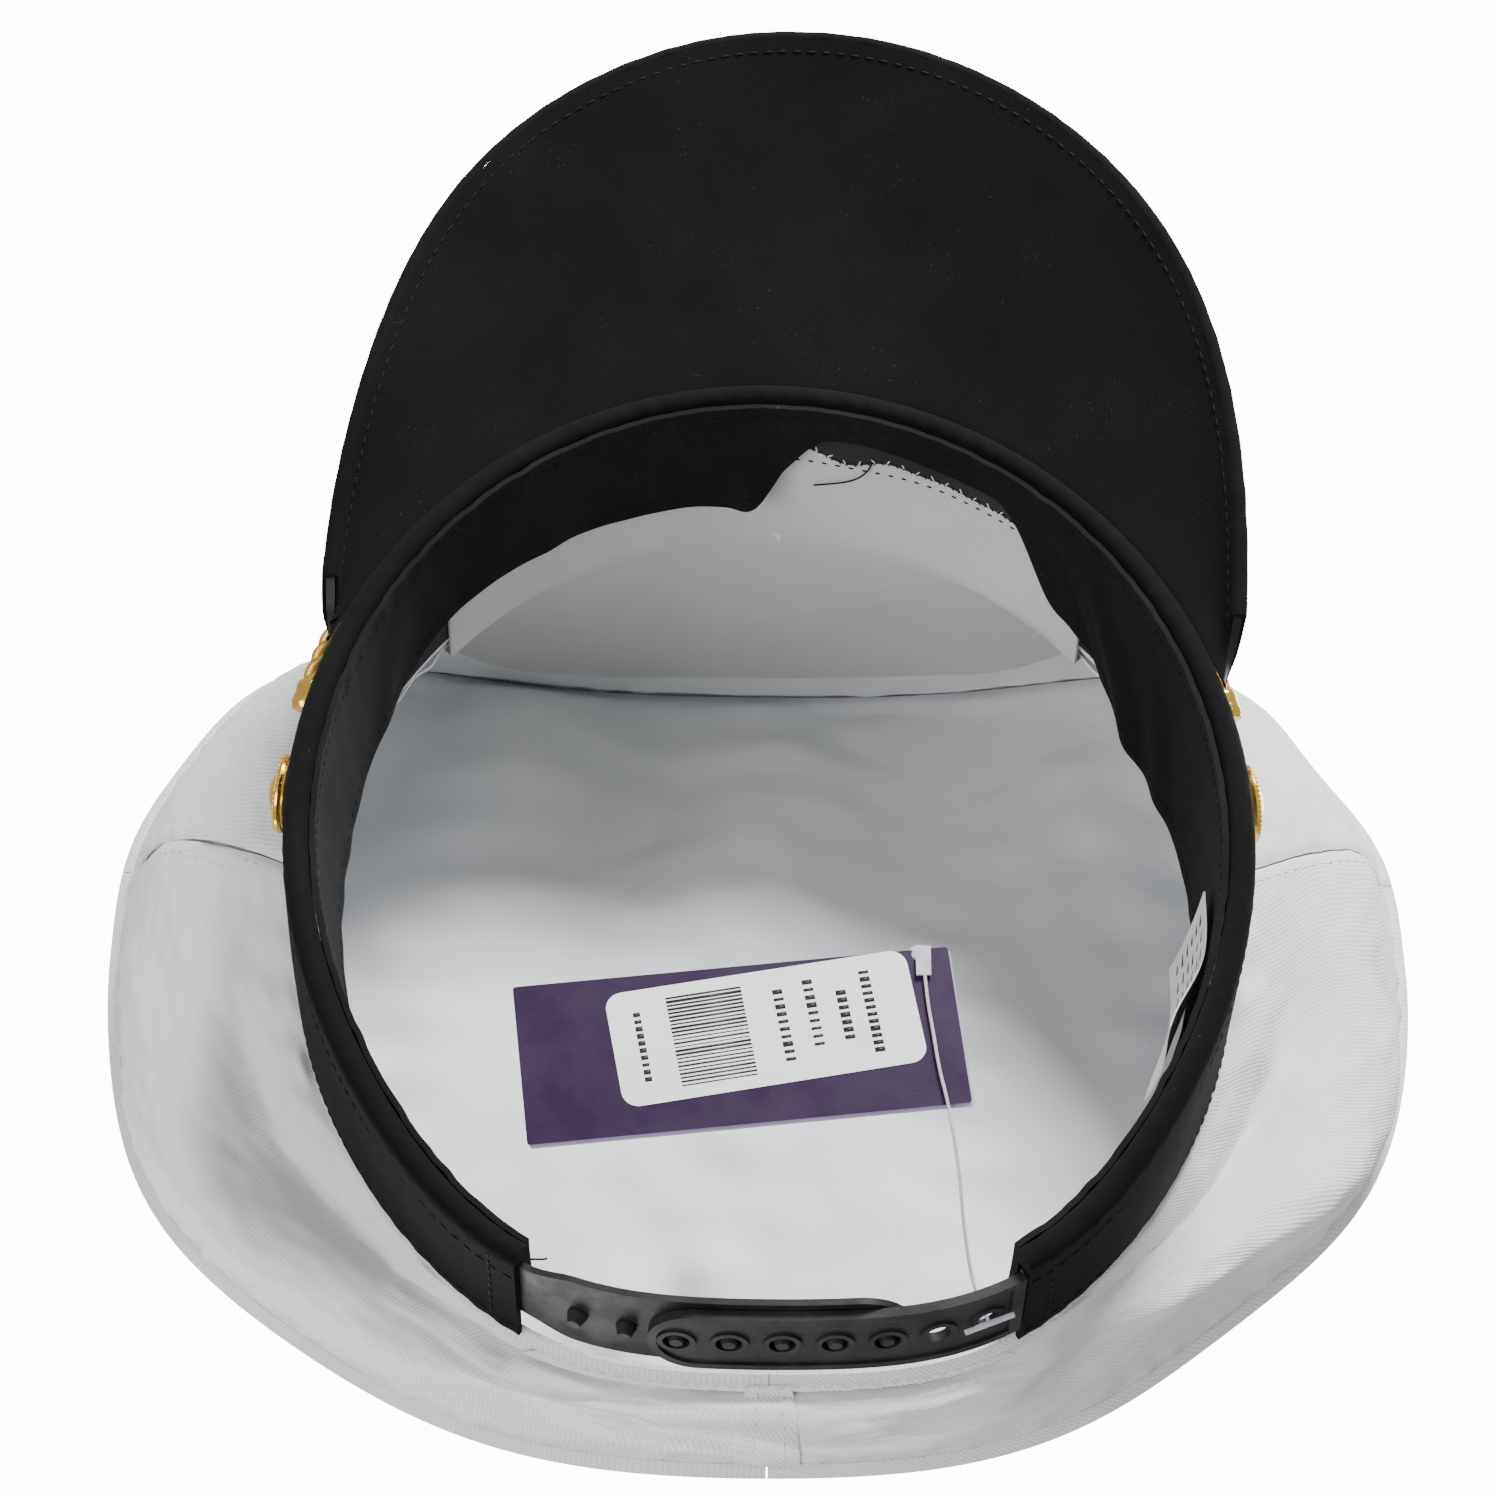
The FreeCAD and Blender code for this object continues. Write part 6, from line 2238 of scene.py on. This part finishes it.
class Studio:
    """Floor, lights, surroundings and camera."""

    def __init__(self) -> None:
        """Finds the cap's middle, which the lights look at."""
        self.view = Viewpoint()
        low, high = CAD_BOX
        self.centre = Vector(((low.x + high.x) / 2, (low.y + high.y) / 2, (low.z + high.z) / 2))

    def build(self) -> None:
        """Sets everything up."""
        self.camera()
        self.floor()
        self.world()
        self.lights()

    def camera(self) -> None:
        """The camera, below and behind the cap, looking up into it."""
        view = self.view
        e, a = math.radians(view.elevation), math.radians(view.azimuth)
        turn = np.array([[math.cos(a), math.sin(a), 0], [-math.sin(a), math.cos(a), 0], [0, 0, 1]])
        ahead = np.array([0.0, -math.cos(e), math.sin(e)]) @ turn
        upward = np.array([0.0, -math.sin(e), -math.cos(e)]) @ turn
        aside = np.array([1.0, 0.0, 0.0]) @ turn
        roll = math.radians(view.roll)
        right = math.cos(roll) * aside + math.sin(roll) * upward
        up = -math.sin(roll) * aside + math.cos(roll) * upward
        ax, ay = (math.radians(angle) for angle in view.aside)
        sight = unit(ahead - math.tan(ax) * right - math.tan(ay) * up)
        right = unit(right - sight * float(right @ sight))
        up = np.cross(right, sight)
        data = bpy.data.cameras.new("camera")
        data.lens = view.lens
        data.sensor_width = 36.0
        data.clip_start, data.clip_end = 0.01, 10.0
        made = bpy.data.objects.new("camera", data)
        bpy.context.scene.collection.objects.link(made)
        axes = [SPACE.turn(v) for v in (right, up, -sight)]
        place = SPACE.place(-ahead * view.distance)
        made.matrix_world = Matrix([[*(float(axis[k]) for axis in axes), float(place[k])]
                                    for k in range(3)] + [[0, 0, 0, 1]])
        bpy.context.scene.camera = made

    def floor(self) -> None:
        """Pale floor under the cap; from below it isn't there."""
        half = 3.0
        corners = half * np.array([(-1, -1, 0), (1, -1, 0), (1, 1, 0), (-1, 1, 0)], float)
        made = mesh_object("floor", corners, [(0, 1, 2, 3)], in_band=False)
        surface = Surface("floor_paper")
        tone = surface.group("mottle", {"Vector": surface.here, "Size": 0.4,
                                        "Low": (0.80, 0.80, 0.80, 1),
                                        "High": (0.84, 0.84, 0.84, 1)})
        surface.set(Base_Color=tone.outputs["Color"], Roughness=0.9)
        wires = surface.wires
        clear = wires.add("ShaderNodeBsdfTransparent")
        behind = wires.add("ShaderNodeNewGeometry").outputs["Backfacing"]
        mixed = wires.add("ShaderNodeMixShader", None,
                          {0: behind, 1: surface.shader.outputs[0], 2: clear.outputs[0]})
        output = wires.tree.nodes["Material Output"]
        wires.tree.links.new(mixed.outputs[0], output.inputs[0])
        made.data.materials.append(surface.material)
        made.visible_shadow = False
        made.visible_diffuse = False
        made.visible_glossy = False

    @staticmethod
    def world() -> None:
        """White all round to the camera, and a softer white as light."""
        world = bpy.data.worlds.new("studio")
        bpy.context.scene.world = world
        world.use_nodes = True
        wires = Wiring(world.node_tree)
        world.node_tree.nodes.clear()
        seen = wires.add("ShaderNodeBackground", None, {0: (1, 1, 1, 1), 1: 14.0})
        light = wires.add("ShaderNodeBackground", None, {0: (0.97, 0.985, 1.0, 1), 1: 0.62})
        path = wires.add("ShaderNodeLightPath")
        mixed = wires.add("ShaderNodeMixShader", None,
                          {0: path.outputs["Is Camera Ray"], 1: light.outputs[0],
                           2: seen.outputs[0]})
        wires.add("ShaderNodeOutputWorld", None, {0: mixed.outputs[0]})

    def lights(self) -> None:
        """Soft boxes: two over the cap and two under it, for the view from below."""
        for name, offset, size, power in (("key_over", (-0.7, 0.9, 1.1), 0.9, 20.0),
                                          ("fill_over", (0.9, -0.8, 0.9), 0.9, 12.0),
                                          ("key_under", (0.35, -0.85, -0.75), 0.45, 34.0),
                                          ("fill_under", (-0.75, 0.75, -0.75), 0.8, 11.0)):
            data = bpy.data.lights.new(name, "AREA")
            data.shape = "DISK"
            data.size = size
            data.energy = power
            made = bpy.data.objects.new(name, data)
            bpy.context.scene.collection.objects.link(made)
            made.location = self.centre + Vector(offset)
            made.rotation_mode = "QUATERNION"
            made.rotation_quaternion = (-Vector(offset)).to_track_quat("-Z", "Y")


def main() -> None:
    """Builds the whole cap and its studio."""
    logging.basicConfig(level=logging.INFO, format="%(message)s")
    Studio().build()
    for part in (SwingTag(), BAND, CROWN, Visor(), Badge(), ChinCord(), SideButtons(), SnapStrap(),
                 CareLabel()):
        part.build()


if __name__ == "__main__":
    main()
